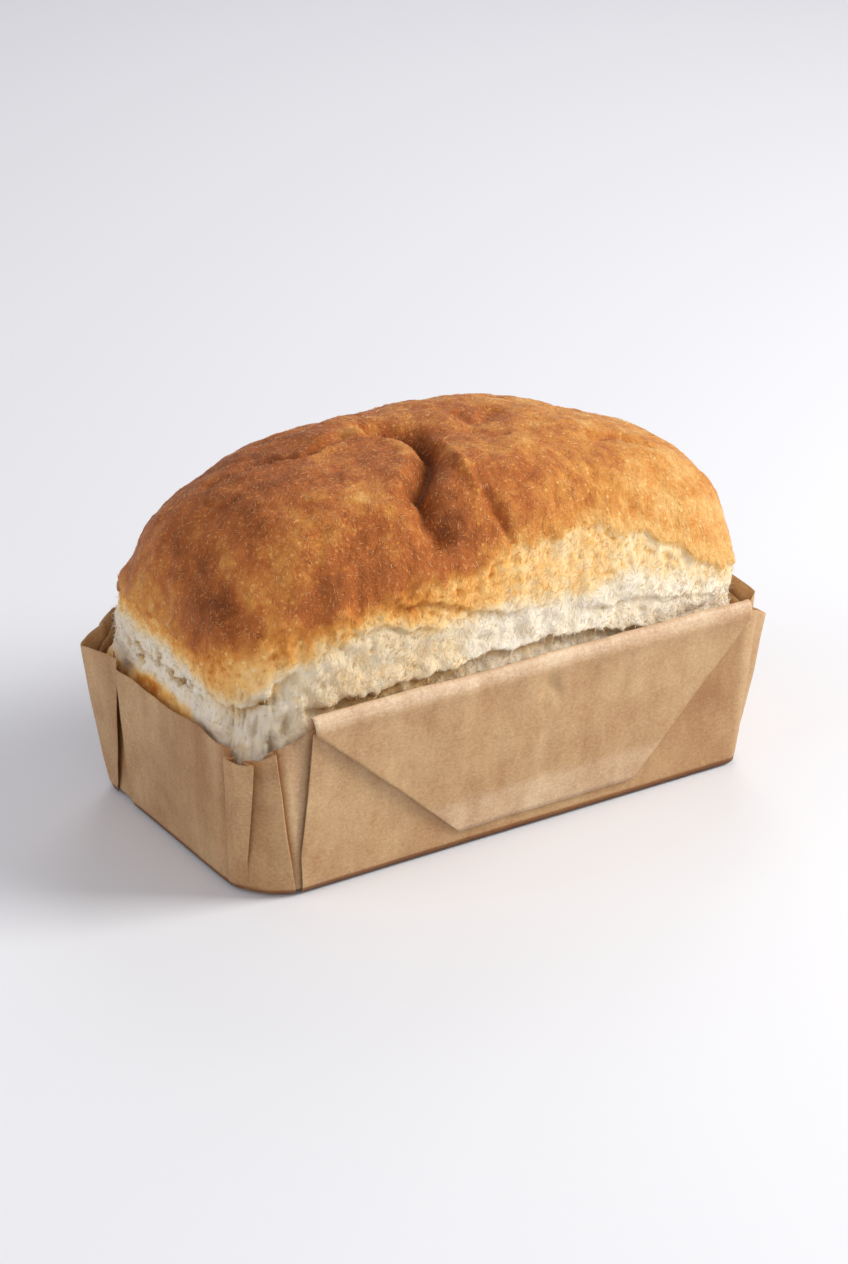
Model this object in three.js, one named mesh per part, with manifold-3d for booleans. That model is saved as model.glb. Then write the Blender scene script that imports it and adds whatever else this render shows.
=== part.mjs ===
// A tin loaf in its folded baking-paper case.
// Millimetres, +Z up. The origin is the middle of the case's flat underside.
// +X runs along the loaf, and the long side with the deep turned-down flap faces -Y.
import * as THREE from "three";
import { mergeVertices } from "three/addons/utils/BufferGeometryUtils.js";
import Module from "manifold-3d";

// ---- Driving dimensions: the tin that shaped both pieces --------------------------------
const BASE_LENGTH = 219; // the tin's floor
const BASE_WIDTH = 117;
const END_FLARE = THREE.MathUtils.degToRad(3.5); // lean of the short walls
const SIDE_FLARE = THREE.MathUtils.degToRad(3.3); // lean of the long walls
const RIM_HEIGHT = 70;
// Radii of the upright corners. The paper was pushed home less well in some than others.
const CORNERS = [
  { name: "front right", floor: 7, rim: 10 },
  { name: "back right", floor: 12, rim: 13 },
  { name: "back left", floor: 9, rim: 13 },
  { name: "front left", floor: 20, rim: 15 },
];

// ---- Paper -------------------------------------------------------------------------------
const PAPER = 0.6; // wall thickness used for the paper here
const FOOT_RADIUS = 1.5; // bend between the floor and the walls
const LOAF_GAP = 0.5; // air between the paper and the loaf
const HIDDEN_HEM = 8; // how far a rolled sheet also runs down against the wall

// ---- Loaf --------------------------------------------------------------------------------
const PEAK = 144.6; // top of the dome
const LEFT_REACH = 112.5; // half-length at its widest, on -X and on +X
const RIGHT_REACH = 114.5;
const SIDE_REACH = 62.2; // half-width at its widest
const LOAF_FOOT_RADIUS = 8;
// Where each side begins to turn in to the dome, and how square that turn is.
const LEFT_TURN = { from: 77, power: 2.7 };
const RIGHT_TURN = { from: 89, power: 2.37 };
const SIDE_TURN = { from: 92.4, power: 2.95 };
const SQUARE_AT_RIM = 6.45; // superellipse exponents of the level slices
const SQUARE_AT_PEAK = 1.95;
const SQUARING = 0.6; // power of the change from the one to the other
// Heights from the rim between which the tin's shape gives way to the dome's.
const DOME_BLEND = { from: -18, to: 2 };
const RELIEF_RISE = 12; // height above the rim at which lumps and creases are full
// The skin of the crust ends on an arch, from below it to above, and the torn side
// under it is set in.
const CRUST_EDGE = { top: 118.5, middle: 5, fall: 0.0031, below: 4, above: 1 };
const TEAR_DEPTH = 1.2;

const { clamp, lerp, smoothstep } = THREE.MathUtils;
const wasm = await Module();
wasm.setup();

// ---- The tin's wall ----------------------------------------------------------------------
// Once round the wall is four sides, with a corner after each.
const WALL_PARTS = 8;
const onceRound = (u) => ((u % WALL_PARTS) + WALL_PARTS) % WALL_PARTS;

// How far the wall is drawn in near the floor by a bend of this radius.
const footInset = (z, radius) =>
  z >= radius ? 0 : radius - Math.sqrt(radius ** 2 - (radius - z) ** 2);

// The tin at one height: half-length a, half-width b and the four corner radii.
function tinAt(z, footRadius = FOOT_RADIUS) {
  const inset = footInset(Math.max(z, 0), footRadius);
  const rise = clamp(z / RIM_HEIGHT, 0, 1);
  return {
    a: BASE_LENGTH / 2 + z * Math.tan(END_FLARE) - inset,
    b: BASE_WIDTH / 2 + z * Math.tan(SIDE_FLARE) - inset,
    radii: CORNERS.map(({ floor, rim }) => lerp(floor, rim, rise)),
  };
}

// A point on the wall. u runs once round it, counter-clockwise from above: 0 to 1 is the
// front, 1 to 2 its right corner, 2 to 3 the right end, and so on to 8. out is the
// distance outside the wall.
function wallPoint(u, out, z, footRadius = FOOT_RADIUS) {
  const { a, b, radii } = tinAt(z, footRadius);
  const turn = onceRound(u);
  const part = Math.floor(turn);
  const share = turn - part;
  const side = part >> 1; // front, right, back, left
  const [long, wide] = side % 2 === 0 ? [a, b] : [b, a];
  const radius = radii[side]; // the corner at the far end of this side
  let along;
  let away;
  if (part % 2 === 0) {
    along = lerp(radii[(side + 3) % 4] - long, long - radius, share);
    away = wide + out;
  } else {
    const bend = share * (Math.PI / 2);
    along = long - radius + (radius + out) * Math.sin(bend);
    away = wide - radius + (radius + out) * Math.cos(bend);
  }
  const heading = side * (Math.PI / 2);
  return new THREE.Vector3(
    along * Math.cos(heading) + away * Math.sin(heading),
    along * Math.sin(heading) - away * Math.cos(heading),
    z,
  );
}

// ---- Meshes and solids -------------------------------------------------------------------
function geometryOf(points, triangles) {
  const geometry = new THREE.BufferGeometry().setFromPoints(points);
  geometry.setIndex(triangles.flat());
  return geometry;
}

function solidOf(geometry) {
  const sameSpot = 1e-4;
  const merged = mergeVertices(geometry, sameSpot);
  return new wasm.Manifold(
    new wasm.Mesh({
      numProp: 3,
      vertProperties: new Float32Array(merged.attributes.position.array),
      triVerts: new Uint32Array(merged.index.array),
    }),
  );
}

function geometryFrom(solid) {
  const { vertProperties, triVerts } = solid.getMesh();
  const geometry = new THREE.BufferGeometry();
  geometry.setAttribute("position", new THREE.BufferAttribute(vertProperties, 3));
  geometry.setIndex(new THREE.BufferAttribute(triVerts, 1));
  return geometry;
}

// A closed skin from stacked rings of equal length, lowest first, with flat ends.
function stackRings(rings) {
  const n = rings[0].length;
  const points = rings.flat();
  const triangles = [];
  for (let k = 0; k + 1 < rings.length; k++) {
    for (let i = 0; i < n; i++) {
      const j = (i + 1) % n;
      triangles.push([k * n + i, k * n + j, (k + 1) * n + j]);
      triangles.push([k * n + i, (k + 1) * n + j, (k + 1) * n + i]);
    }
  }
  const middle = (ring) =>
    ring.reduce((sum, p) => sum.add(p), new THREE.Vector3()).divideScalar(n);
  const last = (rings.length - 1) * n;
  points.push(middle(rings[0]), middle(rings.at(-1)));
  for (let i = 0; i < n; i++) {
    const j = (i + 1) % n;
    triangles.push([points.length - 2, j, i]);
    triangles.push([points.length - 1, last + i, last + j]);
  }
  return geometryOf(points, triangles);
}

// A sheet of paper as a closed solid: rows of points on its middle surface, each row
// running to the right as seen from the side that it faces, the rows going up.
function sheetSolid(rows) {
  const high = rows.length;
  const wide = rows[0].length;
  const at = (k, i) => rows[clamp(k, 0, high - 1)][clamp(i, 0, wide - 1)];
  const front = [];
  const back = [];
  for (let k = 0; k < high; k++) {
    for (let i = 0; i < wide; i++) {
      const right = at(k, i + 1).clone().sub(at(k, i - 1));
      const up = at(k + 1, i).clone().sub(at(k - 1, i));
      const normal = right.cross(up).normalize();
      front.push(at(k, i).clone().addScaledVector(normal, PAPER / 2));
      back.push(at(k, i).clone().addScaledVector(normal, -PAPER / 2));
    }
  }
  const shift = front.length;
  const triangles = [];
  const quad = (p, q, r, s) => triangles.push([p, q, r], [p, r, s]);
  const id = (k, i) => k * wide + i;
  for (let k = 0; k + 1 < high; k++) {
    for (let i = 0; i + 1 < wide; i++) {
      const [p, q, r, s] = [id(k, i), id(k, i + 1), id(k + 1, i + 1), id(k + 1, i)];
      quad(p, q, r, s);
      quad(shift + q, shift + p, shift + s, shift + r);
    }
    quad(id(k, 0), id(k + 1, 0), shift + id(k + 1, 0), shift + id(k, 0));
    quad(id(k + 1, wide - 1), id(k, wide - 1), shift + id(k, wide - 1), shift + id(k + 1, wide - 1));
  }
  for (let i = 0; i + 1 < wide; i++) {
    quad(id(0, i + 1), id(0, i), shift + id(0, i), shift + id(0, i + 1));
    quad(id(high - 1, i), id(high - 1, i + 1), shift + id(high - 1, i + 1), shift + id(high - 1, i));
  }
  return solidOf(geometryOf([...front, ...back], triangles));
}

// ---- Paper case --------------------------------------------------------------------------
// Height of the cut edge round the case: [u, height]. The long sides run up into rolls.
const CUT_EDGE = [
  [0.0, 64], [0.04, 65.5], [0.07, 69], [0.95, 69], [1.4, 66.5], [1.75, 62], [2.0, 69],
  [2.2, 74], [2.6, 72], [3.0, 70], [3.5, 64], [3.9, 70], [4.0, 76], [4.97, 77],
  [5.04, 71], [5.2, 66], [5.5, 63.5], [5.85, 62.8], [6.0, 64], [6.18, 66], [6.2, 62.2],
  [6.36, 59.5], [6.46, 58], [6.63, 60.3], [6.79, 61], [6.85, 58.4], [6.98, 60.5],
  [7.1, 59], [7.55, 58.2], [7.81, 62], [7.86, 62.3], [8.0, 64],
];

function cutEdge(u) {
  const turn = onceRound(u);
  const next = Math.max(1, CUT_EDGE.findIndex(([at]) => at >= turn));
  const [u0, z0] = CUT_EDGE[next - 1];
  const [u1, z1] = CUT_EDGE[next];
  return lerp(z0, z1, smoothstep(turn, u0, u1));
}

// The pleats that take up the paper at each corner. A pleat is a run of fold lines, and
// each fold is [u, out] at the cut edge, [u, out] at its foot, and the foot's height.
const PLEATS = {
  frontLeft: [
    [7.2, 0.0, 7.16, 0.0, 2],
    [7.1, 2.3, 7.07, 0.8, 2],
    [7.32, 3.2, 7.2, 1.0, 4],
    [7.557, 4.2, 7.35, 1.0, 14],
    [7.49, 2.4, 7.36, 0.6, 14],
    [7.36, 0.4, 7.3, 0.1, 14],
    [7.6, 1.2, 7.6, 0.6, 4],
    [7.814, 3.4, 7.9, 1.2, 3],
    [7.78, 1.4, 7.86, 0.6, 3],
    [7.68, 0.0, 7.8, 0.0, 3],
  ],
  frontRight: [
    [0.98, 0.0, 0.98, 0.0, 4],
    [1.45, 1.4, 1.4, 0.5, 10],
    [1.25, 0.4, 1.3, 0.2, 16],
    [1.72, 5.8, 1.62, 0.7, 16],
    [1.84, 0.0, 1.8, 0.0, 16],
  ],
  rightEnd: [
    [2.3, 0.0, 2.2, 0.0, 8],
    [2.12, 2.4, 2.04, 0.6, 8],
    [2.0, 3.6, 1.96, 0.6, 12],
    [1.9, 0.0, 1.9, 0.0, 12],
  ],
  backRight: [
    [2.84, 0.0, 2.9, 0.0, 6],
    [3.06, 2.2, 3.02, 0.6, 6],
    [3.0, 0.9, 3.0, 0.2, 12],
    [3.42, 5.4, 3.36, 0.7, 14],
    [3.34, 1.4, 3.36, 0.3, 14],
    [3.8, 2.4, 3.8, 0.6, 6],
    [3.7, 0.0, 3.74, 0.0, 6],
  ],
  backLeft: [
    [5.06, 0.0, 5.1, 0.0, 5],
    [5.3, 1.8, 5.2, 0.5, 10],
    [5.22, 0.6, 5.18, 0.2, 10],
    [5.6, 4.2, 5.5, 0.6, 3],
    [5.8, 6.0, 5.64, 0.9, 3],
    [5.885, 6.6, 5.72, 1.1, 3],
    [6.04, 5.2, 5.88, 0.9, 3],
    [6.22, 2.8, 6.05, 0.7, 3],
    [6.14, 0.0, 6.0, 0.0, 3],
  ],
  leftEnd: [
    [6.206, 3.8, 6.138, 1.2, 3],
    [6.29, 2.0, 6.22, 0.8, 3],
    [6.5, 0.0, 6.45, 0.0, 3],
  ],
  frontPanel: [
    [0.048, 3.0, -0.029, 1.4, 2],
    [0.16, 2.6, 0.1, 1.0, 2],
    [0.3, 0.0, 0.25, 0.0, 2],
  ],
};

// A point on a fold line, for a share of the way up from its foot to the cut edge.
function onFold([u, out, footU, footOut, footZ], share) {
  const z = lerp(footZ, cutEdge(u), share);
  return { u: lerp(footU, u, share), out: lerp(footOut, out, share), z };
}

// One leaf of paper between two fold lines, carried just past the second one so that the
// leaves join there.
function leafSolid(from, to) {
  const upward = 2;
  const across = 2;
  const rows = [];
  for (let k = 0; k <= upward; k++) {
    const start = onFold(from, k / upward);
    const end = onFold(to, k / upward);
    const row = [];
    for (let i = 0; i <= across; i++) {
      const share = i / across;
      const u = lerp(start.u, end.u, share);
      const out = lerp(start.out, end.out, share);
      row.push(wallPoint(u, out, lerp(start.z, end.z, share)));
    }
    const reach = row.at(-1).clone().sub(row.at(-2)).setLength(PAPER / 2);
    row[row.length - 1].add(reach);
    rows.push(row);
  }
  return sheetSolid(rows);
}

// The long side's sheet, rolled outwards over the rim and turned down as a flap whose
// two sides run in to a narrower lower edge.
function flapSolid({ start, end, rollTop, rollRadius, lowerEdge, footLeft, footRight, stand }) {
  const turns = 6;
  const drops = 4;
  const across = 10;
  const bottom = rollTop - rollRadius;
  const lines = [{ z: bottom - HIDDEN_HEM, out: 0.1, share: 0 }];
  for (let k = 0; k <= turns; k++) {
    const angle = Math.PI * (k / turns);
    lines.push({
      z: bottom + rollRadius * Math.sin(angle),
      out: rollRadius * (1 - Math.cos(angle)),
      share: 0,
    });
  }
  for (let k = 1; k <= drops; k++) {
    const share = k / drops;
    lines.push({
      z: lerp(bottom, lowerEdge, share),
      out: lerp(2 * rollRadius, stand, Math.sqrt(share)),
      share,
    });
  }
  const rows = lines.map(({ z, out, share }) => {
    const row = [];
    for (let i = 0; i <= across; i++) {
      const u = lerp(lerp(start, footLeft, share), lerp(end, footRight, share), i / across);
      row.push(wallPoint(u, out, z));
    }
    return row;
  });
  return sheetSolid(rows);
}

function paperCaseSolid() {
  const around = 64;
  const ring = (out, zAt) =>
    Array.from({ length: around }, (_, i) => {
      const u = (WALL_PARTS * i) / around;
      return wallPoint(u, out, zAt(u));
    });
  const half = PAPER / 2;
  const outside = [ring(half, () => 0), ring(half, () => 1), ring(half, () => FOOT_RADIUS)];
  const inside = [ring(-half, () => FOOT_RADIUS), ring(-half, () => PAPER)];
  const rim = [ring(half, cutEdge), ring(-half, cutEdge)];
  const tray = solidOf(stackRings([...outside, ...rim, ...inside]));
  const leaves = Object.values(PLEATS).flatMap((folds) =>
    folds.slice(1).map((to, i) => leafSolid(folds[i], to)),
  );
  const front = flapSolid({
    start: 0.048, end: 1.0, rollTop: 73.7, rollRadius: 2.4,
    lowerEdge: 8, footLeft: 0.345, footRight: 0.754, stand: 2.2,
  });
  const back = flapSolid({
    start: 4.03, end: 4.98, rollTop: 80, rollRadius: 2.4,
    lowerEdge: 20, footLeft: 4.26, footRight: 4.68, stand: 2.2,
  });
  return [...leaves, front, back].reduce((whole, piece) => whole.add(piece), tray);
}

// ---- Loaf --------------------------------------------------------------------------------
// Lumps of the dome: [x, y, z, radius, height].
const LUMPS = [
  [-62, -30, 134, 30, 2.0], [-92, 8, 122, 22, 1.6], [-24, 18, 144, 12, 2.2],
  [34, -28, 140, 34, 1.6], [80, 20, 133, 24, -1.8], [4, -44, 138, 16, 2.4],
  [-96, -50, 98, 10, 1.8], [22, 24, 143, 16, 1.0], [-46, 34, 138, 22, 0.6],
  [26, 39, 140, 10, -2.0], [-16, 43, 138, 16, -2.2], [100, -24, 119, 24, 2.2],
  [109, -45, 83, 12, 1.5],
];

// Creases where the skin folded as the dough rose: a path, a half-width and a depth.
const CREASES = [
  { width: 5.0, depth: 5.0, path: [
    [-27, 11, 144], [-17, 8, 144], [-9, 1, 145], [-7, -8, 145], [-11, -22, 144],
    [-20, -31, 141], [-28, -40, 138], [-31, -49, 132], [-28, -55, 126], [-26, -58, 121],
  ] },
  { width: 4.5, depth: 1.8, path: [[-5, -51, 132], [-2, -56, 125], [1, -60, 116]] },
  { width: 5.5, depth: 2.4, path: [[15, 6, 144], [18, -4, 144], [30, -3, 144]] },
  { width: 5.0, depth: 1.8, path: [[11, -9, 144], [15, -19, 143], [23, -22, 142]] },
  { width: 5.0, depth: 1.8, path: [[-62, 14, 138], [-52, 6, 141], [-40, 7, 143], [-28, 9, 144]] },
  { width: 5.0, depth: 1.6, path: [[-86, 22, 128], [-72, 15, 135], [-58, 13, 139]] },
  { width: 4.5, depth: 1.5, path: [[54, -26, 138], [68, -27, 134], [84, -31, 127]] },
];

// How far a level slice has drawn in at height z, as a share of its full reach.
function drawnIn(z, { from, power }) {
  const t = clamp((z - from) / (PEAK - from), 0, 1);
  return (1 - t ** power) ** (1 / power);
}

// The direction q lies on the edge of the square from -1 to 1. This gives where it meets
// a rounded rectangle, and below where it meets a superellipse.
function onRoundedRectangle(q, a, b, r) {
  const [x, y] = [a * Math.abs(q.x), b * Math.abs(q.y)];
  const [cx, cy] = [a - r, b - r];
  if (y <= cy || x <= cx) return new THREE.Vector2(a * q.x, b * q.y);
  const square = x * x + y * y;
  const along = x * cx + y * cy;
  const s = (along + Math.sqrt(along ** 2 - square * (cx * cx + cy * cy - r * r))) / square;
  return new THREE.Vector2(a * q.x * s, b * q.y * s);
}

function onSuperellipse(q, a, b, n) {
  const s = (Math.abs(q.x) ** n + Math.abs(q.y) ** n) ** (-1 / n);
  return new THREE.Vector2(a * q.x * s, b * q.y * s);
}

// The loaf's smooth outer form: the tin's shape below the rim, the risen dome above it.
function risenPoint(q, z) {
  const inset = PAPER / 2 + LOAF_GAP;
  const tin = tinAt(z, LOAF_FOOT_RADIUS);
  const [a, b] = [tin.a - inset, tin.b - inset];
  const corner = q.x < 0 ? (q.y < 0 ? 3 : 2) : q.y < 0 ? 0 : 1;
  const low = onRoundedRectangle(q, a, b, tin.radii[corner] - inset);
  const turn = q.x < 0 ? LEFT_TURN : RIGHT_TURN;
  const reach = (q.x < 0 ? LEFT_REACH : RIGHT_REACH) * drawnIn(z, turn);
  const side = SIDE_REACH * drawnIn(z, SIDE_TURN);
  const rise = clamp((z - LEFT_TURN.from) / (PEAK - LEFT_TURN.from), 0, 1);
  const square = lerp(SQUARE_AT_RIM, SQUARE_AT_PEAK, rise ** SQUARING);
  const high = onSuperellipse(q, Math.min(reach, a), Math.min(side, b), square);
  const p = low.lerp(high, smoothstep(z - RIM_HEIGHT, DOME_BLEND.from, DOME_BLEND.to));
  return new THREE.Vector3(p.x, p.y, z);
}

function distanceToPath(p, path) {
  const line = new THREE.Line3();
  const near = new THREE.Vector3();
  let least = Infinity;
  for (let i = 0; i + 1 < path.length; i++) {
    line.set(new THREE.Vector3(...path[i]), new THREE.Vector3(...path[i + 1]));
    line.closestPointToPoint(p, true, near);
    least = Math.min(least, near.distanceTo(p));
  }
  return least;
}

// How far the real crust stands out from the smooth form at a point.
function relief(p) {
  if (p.z < RIM_HEIGHT) return 0;
  let out = 0;
  for (const [x, y, z, radius, height] of LUMPS) {
    const d = p.distanceTo(new THREE.Vector3(x, y, z)) / radius;
    out += height * Math.exp(-d * d);
  }
  for (const { path, width, depth } of CREASES) {
    const d = distanceToPath(p, path) / width;
    out -= depth * Math.exp(-d * d);
  }
  const edge = CRUST_EDGE.top - CRUST_EDGE.fall * (p.x - CRUST_EDGE.middle) ** 2;
  const skin = smoothstep(p.z, edge - CRUST_EDGE.below, edge + CRUST_EDGE.above);
  out -= TEAR_DEPTH * (1 - skin);
  return out * smoothstep(p.z, RIM_HEIGHT, RIM_HEIGHT + RELIEF_RISE);
}

// Lumps and creases push away from, or towards, the loaf's long middle line.
function crustPoint(q, z) {
  const p = risenPoint(q, z);
  const spine = new THREE.Vector3(clamp(p.x, -LEFT_REACH / 2, RIGHT_REACH / 2), 0, RIM_HEIGHT);
  const outwards = p.clone().sub(spine).normalize();
  return p.addScaledVector(outwards, relief(p));
}

// The loaf's skin: a grid over the dome, and level rows from its edge down to the floor.
function loafGeometry() {
  const [long, wide] = [38, 22]; // grid squares over the dome
  const capReach = 0.93;
  const cap = { from: 85, power: 2.7 };
  const levelAt = (share) =>
    cap.from + (PEAK - cap.from) * (1 - (share * capReach) ** cap.power) ** (1 / cap.power);
  const points = [];
  const triangles = [];
  const id = (i, j) => j * (long + 1) + i;
  for (let j = 0; j <= wide; j++) {
    for (let i = 0; i <= long; i++) {
      const q = new THREE.Vector2((2 * i) / long - 1, (2 * j) / wide - 1);
      const share = Math.max(Math.abs(q.x), Math.abs(q.y));
      if (share === 0) points.push(new THREE.Vector3(0, 0, PEAK));
      else points.push(crustPoint(q.divideScalar(share), levelAt(share)));
    }
  }
  const quad = (p, q, r, s) => triangles.push([p, q, r], [p, r, s]);
  for (let j = 0; j < wide; j++) {
    for (let i = 0; i < long; i++) {
      const [p, q, r, s] = [id(i, j), id(i + 1, j), id(i + 1, j + 1), id(i, j + 1)];
      if (i < long / 2 === j < wide / 2) quad(p, q, r, s);
      else quad(q, r, s, p);
    }
  }
  // The grid's rim, counter-clockwise from above, as directions on the square.
  const rim = [];
  for (let i = 0; i < long; i++) rim.push([i, 0]);
  for (let j = 0; j < wide; j++) rim.push([long, j]);
  for (let i = long; i > 0; i--) rim.push([i, wide]);
  for (let j = wide; j > 0; j--) rim.push([0, j]);
  const directions = rim.map(([i, j]) => new THREE.Vector2((2 * i) / long - 1, (2 * j) / wide - 1));
  const floor = PAPER + LOAF_GAP;
  const levels = [109, 100, 91, 83, 75, 67, 50, 8, 3.5, floor];
  let above = rim.map(([i, j]) => id(i, j));
  for (const z of levels) {
    const below = directions.map((q) => points.push(crustPoint(q, z)) - 1);
    for (let i = 0; i < rim.length; i++) {
      const j = (i + 1) % rim.length;
      quad(below[i], below[j], above[j], above[i]);
    }
    above = below;
  }
  const middle = points.push(new THREE.Vector3(0, 0, floor)) - 1;
  above.forEach((p, i) => triangles.push([p, middle, above[(i + 1) % above.length]]));
  return geometryOf(points, triangles);
}

// ---- The two pieces ----------------------------------------------------------------------
const crust = new THREE.MeshStandardMaterial({ color: 0xb5703a, roughness: 0.62, metalness: 0 });
const kraft = new THREE.MeshStandardMaterial({ color: 0xbf966d, roughness: 0.7, metalness: 0 });

const loaf = new THREE.Mesh(loafGeometry(), crust);
loaf.name = "loaf";

const paperCase = new THREE.Mesh(geometryFrom(paperCaseSolid()), kraft);
paperCase.name = "paper_case";

const tinLoaf = new THREE.Group();
tinLoaf.name = "tin_loaf";
tinLoaf.add(loaf, paperCase);

export default tinLoaf;
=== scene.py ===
"""A tin loaf in its pleated baking-paper case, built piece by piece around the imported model.

Lengths are worked out in millimetres and written to the meshes in metres.
"""

import math

import bpy
import numpy as np
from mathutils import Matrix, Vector


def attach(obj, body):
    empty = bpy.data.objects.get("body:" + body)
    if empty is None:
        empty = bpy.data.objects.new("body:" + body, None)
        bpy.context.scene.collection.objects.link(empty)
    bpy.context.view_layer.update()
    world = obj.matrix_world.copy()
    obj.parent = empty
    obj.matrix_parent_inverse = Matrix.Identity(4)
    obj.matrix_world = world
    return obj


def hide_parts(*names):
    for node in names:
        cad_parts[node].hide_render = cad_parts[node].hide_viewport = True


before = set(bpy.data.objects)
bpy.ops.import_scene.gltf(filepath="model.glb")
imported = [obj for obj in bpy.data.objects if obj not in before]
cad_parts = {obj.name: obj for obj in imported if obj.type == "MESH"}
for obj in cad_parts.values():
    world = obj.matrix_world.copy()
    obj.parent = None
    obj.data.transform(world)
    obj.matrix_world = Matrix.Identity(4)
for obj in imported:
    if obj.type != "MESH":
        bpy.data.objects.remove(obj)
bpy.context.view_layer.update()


# ---- View and light -----------------------------------------------------------------------
# A plain studio table: a pale sweep, a soft key light from the front right, weak fills all
# round, and a long lens a little above, turned a third towards the loaf's left end.

VIEW_TURN = math.radians(-32.3)
VIEW_HEIGHT = math.radians(24.5)
VIEW_DISTANCE = 1.3756  # in metres, like the two places below
VIEW_TARGET = Vector((0.070, 0.1116, 0.0))
LIT_SPOT = Vector((0, 0, 0.08))
LENS = 91.4


def linear(hex_colour):
    """An sRGB hex colour as linear red, green, blue and alpha."""
    parts = [int(hex_colour[i : i + 2], 16) / 255 for i in (1, 3, 5)]
    return tuple(c / 12.92 if c <= 0.04045 else ((c + 0.055) / 1.055) ** 2.4 for c in parts) + (1.0,)


def add_node(tree, kind, settings=None, links=None):
    """One node with its settings, and its inputs set to values or linked to sockets."""
    node = tree.nodes.new(kind)
    for name, value in (settings or {}).items():
        setattr(node, name, value)
    for name, value in (links or {}).items():
        if isinstance(value, bpy.types.NodeSocket):
            tree.links.new(value, node.inputs[name])
        else:
            node.inputs[name].default_value = value
    return node


def new_material(name):
    """An empty node material and its tree."""
    material = bpy.data.materials.new(name)
    material.use_nodes = True
    material.node_tree.nodes.clear()
    return material, material.node_tree


back = Vector(
    (
        math.sin(VIEW_TURN) * math.cos(VIEW_HEIGHT),
        -math.cos(VIEW_TURN) * math.cos(VIEW_HEIGHT),
        math.sin(VIEW_HEIGHT),
    )
)
camera = bpy.data.objects.new("camera", bpy.data.cameras.new("camera"))
camera.data.lens = LENS
camera.data.clip_end = 50
camera.rotation_euler = back.to_track_quat("Z", "Y").to_euler()
camera.location = VIEW_TARGET + back * VIEW_DISTANCE
bpy.context.scene.collection.objects.link(camera)
bpy.context.scene.camera = camera


def soft_light(name, place, size, power, colour):
    """A square softbox that faces the middle of the loaf."""
    lamp = bpy.data.lights.new(name, "AREA")
    lamp.size = size
    lamp.energy = power
    lamp.color = linear(colour)[:3]
    lamp_object = bpy.data.objects.new(name, lamp)
    lamp_object.location = place
    lamp_object.rotation_euler = (Vector(place) - LIT_SPOT).to_track_quat("Z", "Y").to_euler()
    bpy.context.scene.collection.objects.link(lamp_object)


soft_light("key_softbox", (1.15, -0.75, 1.0), size=0.8, power=27, colour="#fffdf8")
soft_light("front_fill", (-0.5, -1.6, 0.9), size=1.4, power=4.6, colour="#fdfdff")
soft_light("left_fill", (-1.7, 0.2, 0.9), size=1.4, power=9.6, colour="#fbfaff")
soft_light("back_rim", (0.9, 1.2, 1.2), size=0.8, power=5.8, colour="#fdfbff")

world = bpy.data.worlds.new("studio")
world.use_nodes = True
world.node_tree.nodes["Background"].inputs["Color"].default_value = linear("#f4f4f8")
world.node_tree.nodes["Background"].inputs["Strength"].default_value = 0.4
bpy.context.scene.world = world
bpy.context.scene.view_settings.view_transform = "Standard"

SWEEP_LEFT, SWEEP_RIGHT, SWEEP_FRONT, SWEEP_BACK = -6, 6, -6, 9  # in metres
sweep_corners = [
    (SWEEP_LEFT, SWEEP_FRONT, 0), (SWEEP_RIGHT, SWEEP_FRONT, 0),
    (SWEEP_RIGHT, SWEEP_BACK, 0), (SWEEP_LEFT, SWEEP_BACK, 0),
]
floor_mesh = bpy.data.meshes.new("floor")
floor_mesh.from_pydata(sweep_corners, [], [(0, 1, 2, 3)])
floor = bpy.data.objects.new("floor", floor_mesh)
bpy.context.scene.collection.objects.link(floor)
# Heavy matt paper, near white: it takes soft shadows and shows no gloss.
sweep, tree = new_material("matt_sweep_paper")
sweep_shader = add_node(
    tree,
    "ShaderNodeBsdfPrincipled",
    links={"Base Color": linear("#e9eaee"), "Roughness": 0.75, "Specular IOR Level": 0.2},
)
add_node(tree, "ShaderNodeOutputMaterial", links={"Surface": sweep_shader.outputs[0]})
floor_mesh.materials.append(sweep)


# ---- Loaf ---------------------------------------------------------------------------------
# White bread dough baked in a tin. Above the rim its skin dried, folded and browned; where
# the loaf rose fastest the skin tore from the side, so pale pulled crumb shows in a band.

MM = 0.001
RIM = 70.0
PEAK = 144.6
BASE_LENGTH, BASE_WIDTH = 219.0, 117.0
END_FLARE, SIDE_FLARE = math.radians(3.5), math.radians(3.3)
# Radii of the tin's upright corners at the floor and at the rim, from the front right one
# counter-clockwise seen from above.
CORNER_RADII = ((7, 10), (12, 13), (9, 13), (20, 15))
LOAF_INSET = 0.8  # from the middle of the paper to the loaf
LOAF_FOOT = 8.0  # radius of the loaf's bottom edge
# The dome: how far it reaches, the height where each side starts to turn in towards the peak
# with how fully it rounds, and how square it is seen from above.
LEFT_REACH, RIGHT_REACH, SIDE_REACH = 112.5, 114.5, 62.2
LEFT_TURN, RIGHT_TURN, SIDE_TURN = (77, 2.7), (89, 2.37), (92.4, 2.95)
SQUARE_AT_RIM, SQUARE_AT_PEAK = 6.45, 1.95
HIDDEN_BELOW = RIM - 18  # the paper hides the loaf from here down

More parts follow.
